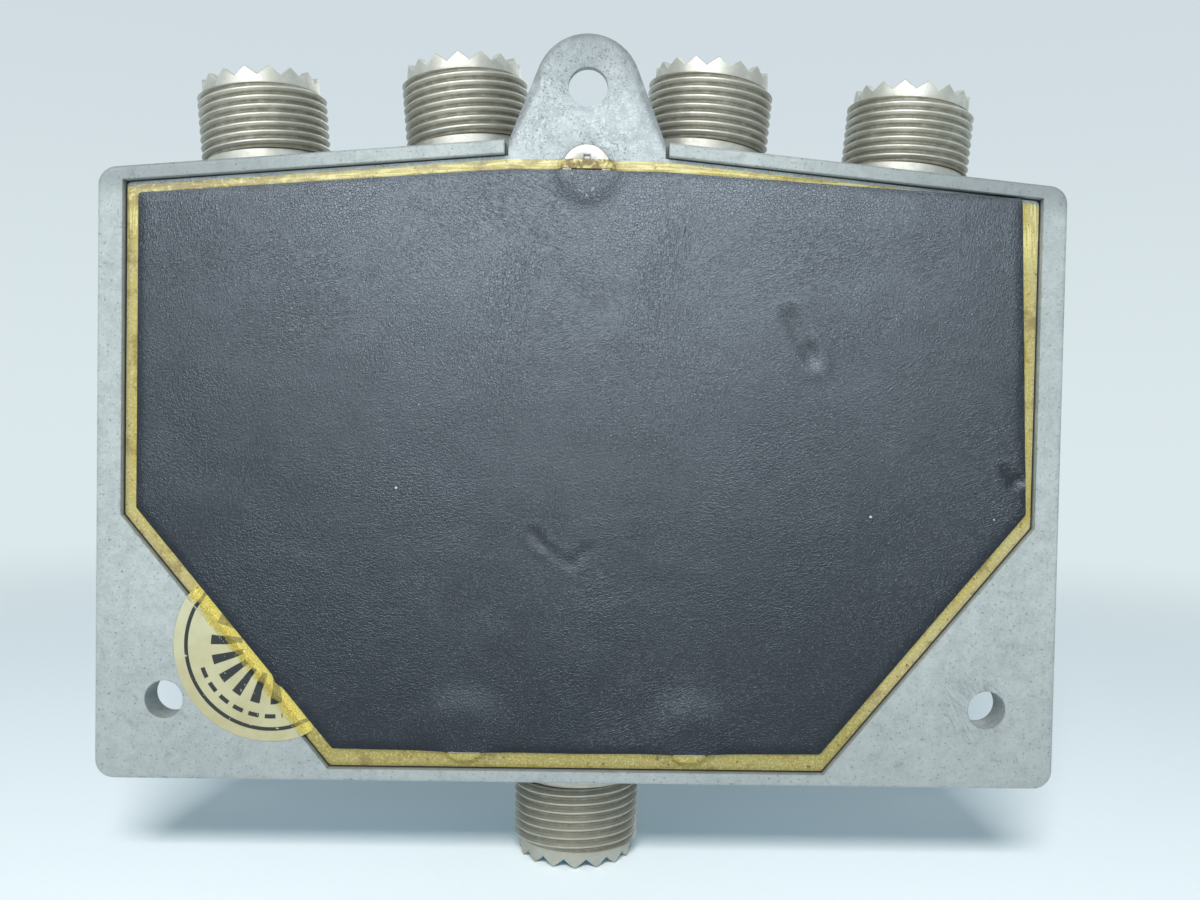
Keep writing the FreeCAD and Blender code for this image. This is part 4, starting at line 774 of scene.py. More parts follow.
@dataclass(frozen=True)
class WornNickel(Finish):
    """Warm nickel plating, tarnished in patches, darker in its grooves, with painted shade in corners and
    low down.
    """

    name: str = "nickel"
    bright: Colour = (0.68, 0.675, 0.62)
    dull: Colour = (0.56, 0.55, 0.49)
    dirt: Colour = (0.35, 0.33, 0.27)
    roughness: float = 0.46
    tarnish: Cloud = Cloud(3.2, 0.38, 0.66, 4.0, 0.6, 0.6)

    def paint(self, painter: Painter) -> None:
        """Write the nodes.

        Args:
            painter: the material, still plain.
        """
        groove = painter.layer("groove")
        patch = painter.cloud(self.tarnish)
        fine = painter.noise(0.4, 3.0, 0.65)
        painter.shade = painter.mix(patch, self.dull, self.bright)
        height = painter.axis("Z")
        # Painted shade: the lowest part, below the case, is darker.
        painter.coat(self.dirt, painter.span(height, -12.0, -9.0, 0.5, 0.0))
        # The thread's grooves are darker in patches, and corners take painted shade.
        darker_grooves = painter.product(painter.span(groove, 0.25, 0.95),
                                 painter.span(painter.noise(1.6, 3.0), 0.25, 0.6, 0.55, 1.0))
        dirt = painter.most(darker_grooves, painter.product(painter.grime(0.6), 0.6))
        painter.coat(self.dirt, dirt)
        painter.bump(fine, 0.02, 0.5)
        rough = painter.span(fine, 0.3, 0.7, self.roughness, self.roughness + 0.12)
        painter.set(Base_Color=painter.shade, Metallic=1.0,
                    Roughness=painter.total(rough, painter.product(dirt, 0.2)))


@dataclass(frozen=True)
class PlainMetal(Finish):
    """Machined or plated metal of an inner or small part."""

    name: str = "steel"
    bright: Colour = (0.62, 0.63, 0.64)
    dull: Colour = (0.40, 0.40, 0.40)
    roughness: float = 0.32
    size: float = 1.2
    dirt: Colour = (0.08, 0.07, 0.06)

    def paint(self, painter: Painter) -> None:
        """Write the nodes.

        Args:
            painter: the material, still plain.
        """
        patch = painter.span(painter.noise(self.size * 2.5, 4.0, 0.6, 0.4), 0.36, 0.66)
        fine = painter.noise(self.size / 4, 3.0, 0.6)
        painter.shade = painter.mix(patch, self.dull, self.bright)
        # Painted shade in corners.
        painter.coat(self.dirt, painter.grime(0.5), 0.6)
        painter.bump(fine, 0.02, 0.4)
        painter.set(Base_Color=painter.shade, Metallic=1.0,
                    Roughness=painter.span(fine, 0.3, 0.7, self.roughness, self.roughness + 0.16))


@dataclass(frozen=True)
class SpunMetal(Finish):
    """Turned aluminium face with fine rings about its axis."""

    name: str = "knob_metal"
    centre: Place = (0.0, 0.0, AXIS_HEIGHT)
    bright: Colour = (0.68, 0.69, 0.70)
    dull: Colour = (0.50, 0.51, 0.52)
    hazy: Colour = (0.45, 0.45, 0.45)
    patches: Cloud = Cloud(5.0, 0.35, 0.7, 4.0, 0.6)

    def paint(self, painter: Painter) -> None:
        """Write the nodes.

        Args:
            painter: the material, still plain.
        """
        local = painter.turned(0.0, (1.0, 1.0, 1.0), self.centre)
        values = {"Vector": local, "Scale": 3.2, "Distortion": 0.05, "Detail": 2.0}
        rings = painter.node("ShaderNodeTexWave", values, wave_type="RINGS", rings_direction="Y").outputs[1]
        patch = painter.cloud(self.patches)
        painter.shade = painter.mix(painter.product(rings, 0.5), self.bright, self.dull)
        painter.coat(self.hazy, patch, 0.25)
        scratch = painter.scratches(0.6, (20.0, 95.0), 0.012, 0.58)
        painter.bump(rings, 0.02, 0.5)
        painter.bump(scratch, -0.02, 0.6)
        painter.set(Base_Color=painter.shade, Metallic=1.0,
                    Roughness=painter.span(patch, 0.0, 1.0, 0.22, 0.36))


@dataclass(frozen=True)
class Moulded(Finish):
    """Moulded or sawn plastic with a fine grain."""

    name: str = "knob_plastic"
    face: Colour = (0.018, 0.018, 0.020)
    rubbed: Colour = (0.045, 0.045, 0.048)
    roughness: float = 0.36
    grain: float = 0.3
    dusty: Colour = (0.30, 0.29, 0.27)
    patches: Cloud = Cloud(5.0, 0.36, 0.7, 4.0, 0.6)
    dust_patches: Cloud = Cloud(0.9, 0.4, 0.7, 3.0)

    def paint(self, painter: Painter) -> None:
        """Write the nodes.

        Args:
            painter: the material, still plain.
        """
        cloud = painter.cloud(self.patches)
        fine = painter.noise(self.grain, 2.0, 0.6)
        painter.shade = painter.mix(painter.product(cloud, 0.6), self.face, self.rubbed)
        # Dust in corners; on the pale plastics the same coat also works as painted shade.
        dust = painter.product(painter.grime(0.8), painter.cloud(self.dust_patches), 0.25)
        painter.coat(self.dusty, dust)
        painter.bump(fine, 0.03, 0.4)
        painter.set(Base_Color=painter.shade,
                    Roughness=painter.span(fine, 0.3, 0.7, self.roughness, self.roughness + 0.14))


@dataclass(frozen=True)
class DialPaint(Finish):
    """Satin enamel of the dial plate, bare where its edge and face are rubbed."""

    name: str = "dial"
    enamel: Colour = (0.022, 0.024, 0.027)
    faded: Colour = (0.034, 0.036, 0.040)
    bare: Colour = (0.60, 0.62, 0.63)
    patches: Cloud = Cloud(12.0, 0.35, 0.7, 4.0, 0.6)
    chips: Cloud = Cloud(1.4, 0.735, 0.755, 4.0, 0.7)

    def paint(self, painter: Painter) -> None:
        """Write the nodes.

        Args:
            painter: the material, still plain.
        """
        cloud = painter.cloud(self.patches)
        fine = painter.noise(0.28, 2.0, 0.5)
        painter.shade = painter.mix(painter.product(cloud, 0.5), self.enamel, self.faded)
        scratch = painter.scratches(1.3, (8.0, 60.0, 140.0), 0.006, 0.66)
        chip = painter.cloud(self.chips)
        lost = painter.most(painter.product(scratch, 0.2), chip)
        painter.coat(self.bare, lost)
        painter.bump(fine, 0.025, 0.5)
        painter.bump(lost, -0.03, 0.6)
        painter.set(Base_Color=painter.shade, Roughness=painter.span(fine, 0.3, 0.7, 0.38, 0.5))


NICKEL = WornNickel()
CASTING = CastMetal()
SHEET_METAL = StampedMetal()
LEATHER = Leatherette()
GLUE = OldGlue()
FOIL = SealFoil()
DIAL = DialPaint()
KNOB_PLASTIC = Moulded()
KNOB_METAL = SpunMetal()
SCREW_METAL = PlainMetal("plated_screw", (0.70, 0.69, 0.64), (0.52, 0.50, 0.44), 0.34, 1.0)
STEEL = PlainMetal()
SILVERED = PlainMetal("silvered", (0.80, 0.79, 0.76), (0.58, 0.56, 0.50), 0.26, 1.4)
BRASS = PlainMetal("bare_brass", (0.72, 0.55, 0.24), (0.48, 0.34, 0.13), 0.30, 1.2)
INSULATOR = Moulded("insulator", (0.70, 0.68, 0.60), (0.60, 0.56, 0.45), 0.40, 0.5)
PHENOLIC = Moulded("phenolic", (0.16, 0.075, 0.028), (0.22, 0.11, 0.045), 0.42, 0.4)
ACETAL = Moulded("acetal", (0.60, 0.59, 0.54), (0.52, 0.50, 0.44), 0.38, 0.6)
MARKING = Moulded("pointer_white", (0.74, 0.74, 0.70), (0.62, 0.61, 0.56), 0.48, 0.35)


# --- building pieces -----------------------------------------------------------------------------


class Workshop:
    """Finishes meshes, dresses them and sets them on their bodies."""

    @staticmethod
    def close(mesh: Mesh) -> None:
        """Weld a mesh and turn its faces outwards."""
        bmesh.ops.remove_doubles(mesh, verts=mesh.verts, dist=1e-4)
        bmesh.ops.recalc_face_normals(mesh, faces=mesh.faces)

    @staticmethod
    def cut(mesh: Mesh, place: Place, outwards: Place) -> None:
        """Cut away what lies beyond a plane.

        Args:
            mesh: the mesh.
            place: a point of the plane.
            outwards: direction of the side that goes.
        """
        bmesh.ops.bisect_plane(mesh, geom=[*mesh.verts, *mesh.edges, *mesh.faces], dist=1e-5,
                               plane_co=place, plane_no=outwards, clear_outer=True)

    @staticmethod
    def doubled(mesh: Mesh, layer: str) -> tuple[Any, set[bmesh.types.BMVert]]:
        """Give a flat mesh a second face, joined all round, and a number at each vertex.

        Args:
            mesh: the flat mesh.
            layer: name of the number.

        Returns:
            The number's layer, and the vertices of the first face.
        """
        numbers = mesh.verts.layers.float.new(layer)
        first = set(mesh.verts)
        bmesh.ops.extrude_face_region(mesh, geom=mesh.faces[:], use_keep_orig=True)
        return numbers, first

    @staticmethod
    def hang(name: str, data: bpy.types.ID) -> Thing:
        """Put a mesh, a lamp or a camera into the scene.

        Args:
            name: name of the thing.
            data: its mesh, lamp or camera.

        Returns:
            The thing, at the origin.
        """
        made = bpy.data.objects.new(name, data)
        bpy.context.scene.collection.objects.link(made)
        return made

    @staticmethod
    def shift(mesh: Mesh, matrix: Matrix, verts: Sequence[bmesh.types.BMVert] = ()) -> None:
        """Move a mesh, or some of its vertices, by a matrix."""
        bmesh.ops.transform(mesh, matrix=matrix, verts=list(verts) or mesh.verts)

    @staticmethod
    def piece(name: str, mesh: Mesh, finish: Finish, rider: Rider, slot: str,
              stands_for: Sequence[str] = (), sharp: float = 38.0) -> Thing:
        """Turn a mesh in millimetres into a dressed piece.

        Args:
            name: name of the piece.
            mesh: its mesh, freed here.
            finish: its finish.
            rider: the body it rides on.
            slot: the record's material slot; not used.
            stands_for: CAD nodes that it replaces.
            sharp: edges above this angle stay sharp, in degrees.

        Returns:
            The piece.
        """
        bmesh.ops.scale(mesh, vec=(MM, MM, MM), verts=mesh.verts)
        data = bpy.data.meshes.new(name)
        mesh.to_mesh(data)
        mesh.free()
        data.polygons.foreach_set("use_smooth", [True] * len(data.polygons))
        data.set_sharp_from_angle(angle=math.radians(sharp))
        data.materials.append(finish.material())
        made = Workshop.hang(name, data)
        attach(made, rider.value)
        if stands_for:
            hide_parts(*stands_for)
        LOG.info("built %s: %d faces", name, len(data.polygons))
        return made

    @staticmethod
    def dress(nodes: Nodes, finishes: dict[str, Finish]) -> None:
        """Give CAD nodes their finishes.

        Args:
            nodes: the CAD nodes.
            finishes: the finish of each, by the node's name.
        """
        for name, finish in finishes.items():
            places = nodes[name].material_slots
            if not places:
                nodes[name].data.materials.append(finish.material())
            for place in places:
                place.material = finish.material()
            LOG.info("dressed %s as %s", name, finish.name)

    @staticmethod
    def merged(node: Thing) -> Mesh:
        """A welded copy of a CAD node's mesh, in millimetres.

        Args:
            node: the node's object.

        Returns:
            The copy, its flat faces whole again.
        """
        mesh = bmesh.new()
        mesh.from_mesh(node.data)
        bmesh.ops.scale(mesh, vec=(1 / MM, 1 / MM, 1 / MM), verts=mesh.verts)
        bmesh.ops.remove_doubles(mesh, verts=mesh.verts, dist=2e-3)
        bmesh.ops.dissolve_limit(mesh, angle_limit=math.radians(0.6), verts=mesh.verts, edges=mesh.edges)
        return mesh

    @staticmethod
    def soften(mesh: Mesh, width: float, angle: float, segments: int) -> None:
        """Round the sharp outer edges of a mesh.

        Args:
            mesh: the mesh.
            width: width of the rounding.
            angle: least angle of an edge that is rounded, degrees.
            segments: faces across the rounding.
        """
        sharp = [edge for edge in mesh.edges
                 if edge.is_manifold and edge.calc_face_angle_signed() > math.radians(angle)]
        bmesh.ops.bevel(mesh, geom=sharp, offset=width, offset_type="OFFSET", segments=segments,
                        profile=0.5, affect="EDGES", clamp_overlap=True, material=-1)

    @staticmethod
    def softened(nodes: Nodes, node: str, name: str, finish: Finish, rider: Rider, slot: str,
                 width: float, angle: float = 35.0, segments: int = 2) -> None:
        """Replace a CAD node by a copy whose edges are rounded.

        Args:
            nodes: the CAD nodes.
            node: name of the one that is copied.
            name: name of the piece.
            finish: its finish.
            rider: the body it rides on.
            slot: the record's material slot.
            width: width of the rounding.
            angle: least angle of an edge that is rounded, degrees.
            segments: faces across the rounding.
        """
        mesh = Workshop.merged(nodes[node])
        Workshop.soften(mesh, width, angle, segments)
        Workshop.piece(name, mesh, finish, rider, slot, (node,))


@dataclass(frozen=True)
class BackOutline:
    """Six-sided line of the rear recess, from which the layers on the back are inset."""

    half_width: float = 57.0
    apex: float = APEX
    slope: float = ROOF_SLOPE
    bottom: float = FOOT
    rim_side: float = 2.95
    rim_top: float = 1.65
    rim_bottom: float = 1.45
    corner_height: float = 31.25
    foot_out: float = 29.5

    @property
    def diagonal(self) -> float:
        """Slope of the diagonals, in radians."""
        across = self.half_width - self.rim_side - self.foot_out
        return math.atan2(self.corner_height - self.rim_bottom, across)

    def line(self, inset: float, top: float) -> list[Point]:
        """The line moved inwards from the edge of the recess.

        Args:
            inset: inset of the sides, the bottom and the diagonals.
            top: inset of the roof.

        Returns:
            Its corners, anticlockwise from the bottom on the +X side.
        """
        lean = self.diagonal
        half = self.half_width - self.rim_side - inset
        floor = self.bottom + self.rim_bottom
        foot = self.foot_out + (inset - inset / math.cos(lean)) / math.tan(lean)
        corner = floor + (half - self.foot_out) * math.tan(lean) + inset / math.cos(lean)
        slope = math.radians(self.slope)
        drop = (self.rim_top + top) / math.cos(slope)
        right = [(foot, floor + inset), (half, corner), (half, self.apex - half * math.tan(slope) - drop)]
        return right + [(0.0, self.apex - drop)] + [(-x, z) for x, z in reversed(right)]

    def skin(self, inset: float, top: float) -> list[Point]:
        """The line moved inwards, as line() does it, and level across the root of the lug.

        Args:
            inset: inset of the sides, the bottom and the diagonals.
            top: inset of the roof.

        Returns:
            Its corners, anticlockwise from the bottom on the +X side.
        """
        line = self.line(inset, top)
        level = line[3][1] - LUG_HALF * math.tan(math.radians(self.slope))
        return line[:3] + [(LUG_HALF, level), (-LUG_HALF, level)] + line[4:]

    @staticmethod
    def rounded(corners: Sequence[Point], radius: float, steps: int = 4) -> list[Point]:
        """Round the corners of a line.

        Args:
            corners: its corners, anticlockwise.
            radius: radius of the rounding.
            steps: sides of each rounding.

        Returns:
            The corners of the rounded line.
        """
        result = []
        for index, here in enumerate(corners):
            before, after = corners[index - 1], corners[(index + 1) % len(corners)]
            back = Vector(before) - Vector(here)
            ahead = Vector(after) - Vector(here)
            angle = back.angle(ahead)
            if angle > math.radians(165):
                result.append(here)
                continue
            reach = radius / math.tan(angle / 2)
            middle = Vector(here) + (back.normalized() + ahead.normalized()).normalized() * (
                radius / math.sin(angle / 2))
            first = Vector(here) + back.normalized() * reach - middle
            turn = math.pi - angle
            for step in range(steps + 1):
                share = turn * step / steps
                spun = (first.x * math.cos(share) - first.y * math.sin(share),
                        first.x * math.sin(share) + first.y * math.cos(share))
                result.append((middle.x + spun[0], middle.y + spun[1]))
        return result

    @staticmethod
    def inside(corners: Sequence[Point], x: float, z: float) -> float:
        """How far a point lies inside a convex line.

        Args:
            corners: the line's corners, anticlockwise.
            x: place to the side.
            z: place upwards.

        Returns:
            The distance to the nearest side, negative outside.
        """
        nearest = math.inf
        for (ax, az), (bx, bz) in sides(corners):
            length = math.hypot(bx - ax, bz - az)
            nearest = min(nearest, ((bx - ax) * (z - az) - (bz - az) * (x - ax)) / length)
        return nearest

    @staticmethod
    def trim(mesh: Mesh, corners: Sequence[Point]) -> None:
        """Cut a mesh in the back plane down to a convex line.

        Args:
            mesh: the mesh.
            corners: the line's corners, anticlockwise.
        """
        for (ax, az), (bx, bz) in sides(corners):
            Workshop.cut(mesh, (ax, 0.0, az), (bz - az, 0.0, ax - bx))
        loose = [vertex for vertex in mesh.verts if not vertex.link_faces]
        bmesh.ops.delete(mesh, geom=loose, context="VERTS")


@dataclass(frozen=True)
class Mark:
    """A dent or scratch of the leatherette."""

    start: Point
    end: Point
    width: float
    depth: float
    # How dark the painted shade along the mark is.
    darkness: float = 1.0


@dataclass
class RearSkin:
    """What lies on the rear cover: glue, leatherette and the foil seal."""

    outline: BackOutline = field(default_factory=BackOutline)
    cover_face: float = -1.0
    glue_face: float = -0.85
    sheet_face: float = -0.35
    bump_face: float = -0.07
    head_face: float = -0.2
    sheet_cut: tuple[Point, ...] = (
        (0.0, -6.02), (29.1, -5.72), (52.4, 22.58), (52.4, 59.5), (LUG_HALF, 63.17), (-LUG_HALF, 63.17),
        (-51.7, 60.93), (-53.1, 23.4), (-29.1, -5.72))
    sheet_corner: float = 0.35
    top_head_fall: float = 1.9
    hidden_head_fall: float = 3.8
    glue_inset: float = 0.2
    glue_inset_top: float = 0.55
    glue_corner: float = 0.5
    cell: float = 0.6
    glue_cell: float = 0.36
    glue_under_sheet: float = 0.8
    nick: Point = (35.4, 2.3)
    nick_depth: float = 0.45
    sheet_swells: tuple[Swell, Swell] = (Swell(0.03, 9.0), Swell(0.018, 3.1, 4.0))
    edge_roll: float = 0.12
    seal_ridge: float = 0.04
    film: float = 0.12
    film_under_sheet: float = 0.13
    film_swells: tuple[Swell, Swell] = (Swell(0.04, 1.3, 2.0), Swell(0.04, 4.0, 6.0))
    seal_thickness: float = 0.07
    seal_lift: float = 0.012
    seal_wrinkles: Swell = Swell(0.008, 1.6, 8.0)
    smear_edge: Swell = Swell(0.3, 1.3, 5.0)
    heads: tuple[Point, ...] = (TOP_HEAD, (13.4, -3.9), (-13.4, -3.9))
    head_radius: float = 2.95
    lump_height: float = 0.83
    lump_top: Range = (64.6, 65.1)
    lump_swell: Swell = Swell(0.02, 0.8, 3.0)
    lump_end: Swell = Swell(0.5, 1.1, 9.0)
    seal_radius: float = 11.4
    seal_rings: int = 40
    seal_spokes: int = 132
    marks: tuple[Mark, ...] = (
        Mark((-24.4, 46.4), (-26.6, 41.8), 0.9, 0.16, 0.55),
        Mark((-27.0, 42.6), (-27.4, 41.0), 0.7, 0.12, 0.7),
        Mark((5.6, 20.4), (4.6, 19.0), 0.45, 0.14),
        Mark((4.6, 19.0), (1.0, 16.4), 0.35, 0.08, 0.5),
        Mark((1.0, 16.6), (-0.9, 18.6), 0.45, 0.12),
        Mark((-50.6, 28.6), (-52.2, 27.2), 0.5, 0.22),
        Mark((-51.0, 26.8), (-52.3, 27.6), 0.4, 0.2),
        Mark((29.9, 57.9), (27.2, 60.6), 0.16, 0.06, 0.8),
        Mark((45.2, 46.6), (43.8, 48.8), 0.16, 0.05, 0.7),
        Mark((33.9, 44.6), (32.6, 45.8), 0.16, 0.05, 0.7),
        Mark((-3.4, 41.6), (-2.7, 44.6), 0.16, 0.05, 0.8),
        Mark((-4.6, 22.0), (-6.6, 24.6), 0.16, 0.05, 0.5),
    )

    def sheet_line(self) -> list[Point]:
        """The edge of the leatherette, cut by hand and not quite even."""
        return self.outline.rounded(self.sheet_cut, self.sheet_corner, 3)

    @staticmethod
    def grid(line: Sequence[Point], cell: float) -> Mesh:
        """An upright grid over the whole of a line.

        Args:
            line: its corners.
            cell: size of one square.

        Returns:
            The grid, standing in the back plane.
        """
        low = min(z for _, z in line)
        high = max(z for _, z in line)
        half = max(abs(x) for x, _ in line)
        mesh = bmesh.new()
        bmesh.ops.create_grid(mesh, x_segments=round(2 * half / cell), y_segments=round((high - low) / cell),
                              size=1.0)
        stretch = Matrix.Diagonal((half, (high - low) / 2, 1.0, 1.0))
        stand = Matrix.Rotation(math.radians(90), 4, "X")
        lift = Matrix.Translation((0.0, 0.0, (high + low) / 2))
        Workshop.shift(mesh, lift @ stand @ stretch)
        return mesh

    def sheet_height(self, x: float, z: float, line: Sequence[Point]) -> tuple[float, float]:
        """Height of the leatherette's face and the painted shade of a mark there.

        Args:
            x: place to the side.
            z: place upwards.
            line: the edge of the sheet.

        Returns:
            Place along Y and the darkness of the painted shade, from 0 to 1.
        """
        edge = max(0.0, self.outline.inside(line, x, z))
        height = self.sheet_face + sum(swell.at(x, z) for swell in self.sheet_swells)
        height -= self.edge_roll * (1.0 - smooth_step(0.0, 0.7, edge))
        from_seal = distance(x, z, SEAL_CENTRE)
        over_seal = 1.0 - smooth_step(self.seal_radius - 1.0, self.seal_radius + 1.2, from_seal)
        height += self.seal_ridge * over_seal
        for head in self.heads:
            away = distance(x, z, head)
            fall = self.top_head_fall if head[1] > 0.0 else self.hidden_head_fall
            lift = 1.0 - smooth_step(self.head_radius - 0.4, self.head_radius + fall, away)
            crown = self.bump_face - 0.02 * (away / self.head_radius) ** 2
            height += lift * (crown - height)
        dark = 0.0
        for mark in self.marks:
            away = distance_to_stroke(x, z, mark.start, mark.end)
            near = bell(away, mark.width)
            lip = bell(away - 2.1 * mark.width, 0.9 * mark.width)
            height += mark.depth * (0.22 * lip - near)
            # Painted shade along the middle of the mark.
            dark = max(dark, mark.darkness * near)
        return height, dark

    def leatherette(self) -> Thing:
        """The sheet glued on the cover."""
        line = self.sheet_line()
        mesh = self.grid(line, self.cell)
        self.outline.trim(mesh, line)
        dark, front = Workshop.doubled(mesh, "mark")
        for vertex in mesh.verts:
            x, z = vertex.co.x, vertex.co.z
            tongue = self.nick_depth * bell(distance(x, z, self.nick), 0.5)
            vertex.co.x += tongue * math.sin(self.outline.diagonal)
            vertex.co.z -= tongue * math.cos(self.outline.diagonal)
            if vertex in front:
                vertex.co.y, vertex[dark] = self.sheet_height(x, z, line)
            else:
                near = min(distance(x, z, head) for head in self.heads)
                room = 1.0 - smooth_step(self.head_radius + 0.2, self.head_radius + 0.7, near)
                vertex.co.y = self.glue_face + room * (self.head_face - self.glue_face)
        bmesh.ops.recalc_face_normals(mesh, faces=mesh.faces)
        sheet = Workshop.piece("leatherette_sheet", mesh, LEATHER, Rider.CASE, "leatherette",
                               ("rear_sheet",), 60.0)
        return sheet

    def glue_height(self, x: float, z: float, line: Sequence[Point], outside: float) -> float:
        """Height of the glue over the cover.

        Args:
            x: place to the side.
            z: place upwards.
            line: the edge of the glue.
            outside: distance outside the edge of the sheet.

        Returns:
            The height.
        """
        bead = bell(outside - 0.2, 0.3)
        film = self.film + sum(swell.at(x, z) for swell in self.film_swells)
        shown = smooth_step(-0.3, 0.1, outside)
        height = film * (0.7 + 0.9 * bead) * shown + self.film_under_sheet * (1.0 - shown)
        height *= 0.3 + 0.7 * smooth_step(0.0, 0.3, self.outline.inside(line, x, z))
        for head in self.heads:
            away = distance(x, z, head)
            lump = 1.0 - smooth_step(self.head_radius, self.head_radius + 0.6, away)
            lump *= smooth_step(-0.1, 0.2, outside)
            lump *= 1.0 - smooth_step(*self.lump_top, z + self.lump_end.at(x, z))
            height = max(height, lump * (self.lump_height + self.lump_swell.at(x, z)))
        return height

    def glue(self) -> Thing:
        """The glue that shows as a margin all round the sheet."""
        line = self.outline.rounded(self.outline.skin(self.glue_inset, self.glue_inset_top),
                                    self.glue_corner, 3)
        edge = self.sheet_line()
        mesh = self.grid(line, self.glue_cell)
        hidden = []
        for face in mesh.faces:
            middle = face.calc_center_median()
            if (self.outline.inside(edge, middle.x, middle.z) > self.glue_under_sheet
                    or distance(middle.x, middle.z, SEAL_CENTRE) < self.seal_radius - self.glue_cell):
                hidden.append(face)
        bmesh.ops.delete(mesh, geom=hidden, context="FACES")
        self.outline.trim(mesh, line)
        margin, under = Workshop.doubled(mesh, "margin")
        for vertex in mesh.verts:
            x, z = vertex.co.x, vertex.co.z
            outside = -self.outline.inside(edge, x, z)
            vertex[margin] = outside
            rise = 0.0 if vertex in under else self.glue_height(x, z, line, outside)
            vertex.co.y = self.cover_face + rise
        bmesh.ops.recalc_face_normals(mesh, faces=mesh.faces)
        return Workshop.piece("glue_film", mesh, GLUE, Rider.CASE, "glue", ("cover_adhesive",), 50.0)

    def seal(self) -> Thing:
        """The foil seal, which bends over the edge of the recess and runs under the sheet."""
        recess = self.outline.line(0.0, 0.0)
        edge = self.sheet_line()
        mesh = bmesh.new()
        radius = [mesh.verts.new((self.seal_radius * step / self.seal_rings, 0.0, 0.0))
                  for step in range(self.seal_rings + 1)]
        links = [mesh.edges.new(pair) for pair in zip(radius, radius[1:])]
        bmesh.ops.spin(mesh, geom=[*radius, *links], cent=(0.0, 0.0, 0.0), axis=(0.0, 1.0, 0.0),
                       angle=math.tau, steps=self.seal_spokes, use_merge=True)
        bmesh.ops.remove_doubles(mesh, verts=mesh.verts, dist=1e-4)
        bmesh.ops.translate(mesh, vec=(SEAL_CENTRE[0], 0.0, SEAL_CENTRE[1]), verts=mesh.verts)
        smear, under = Workshop.doubled(mesh, "smear")
        for vertex in mesh.verts:
            x, z = vertex.co.x, vertex.co.z
            depth = self.outline.inside(recess, x, z)
            fall = smooth_step(-0.15, 0.85, depth)
            vertex.co.y = self.seal_lift + fall * (self.cover_face - self.seal_lift + 0.02)
            if vertex not in under:
                wrinkle = self.seal_wrinkles.height + self.seal_wrinkles.at(x, z)
                vertex.co.y += self.seal_thickness + wrinkle * (1.0 - smooth_step(0.9, 1.6, depth))
            outside = -self.outline.inside(edge, x, z)
            vertex[smear] = 1.0 - smooth_step(1.5, 1.9, outside + self.smear_edge.at(x, z))
        bmesh.ops.recalc_face_normals(mesh, faces=mesh.faces)
        return Workshop.piece("round_seal", mesh, FOIL, Rider.CASE, "foil_seal",
                              ("inspection_sticker",), 50.0)

    def build(self) -> Thing:
        """Build the three layers and give back the sheet."""
        self.glue()
        self.seal()
        return self.leatherette()


@dataclass(frozen=True)
class SocketPlace:
    """Where a socket stands on the case."""

    name: str
    x: float
    z: float
    lean: float


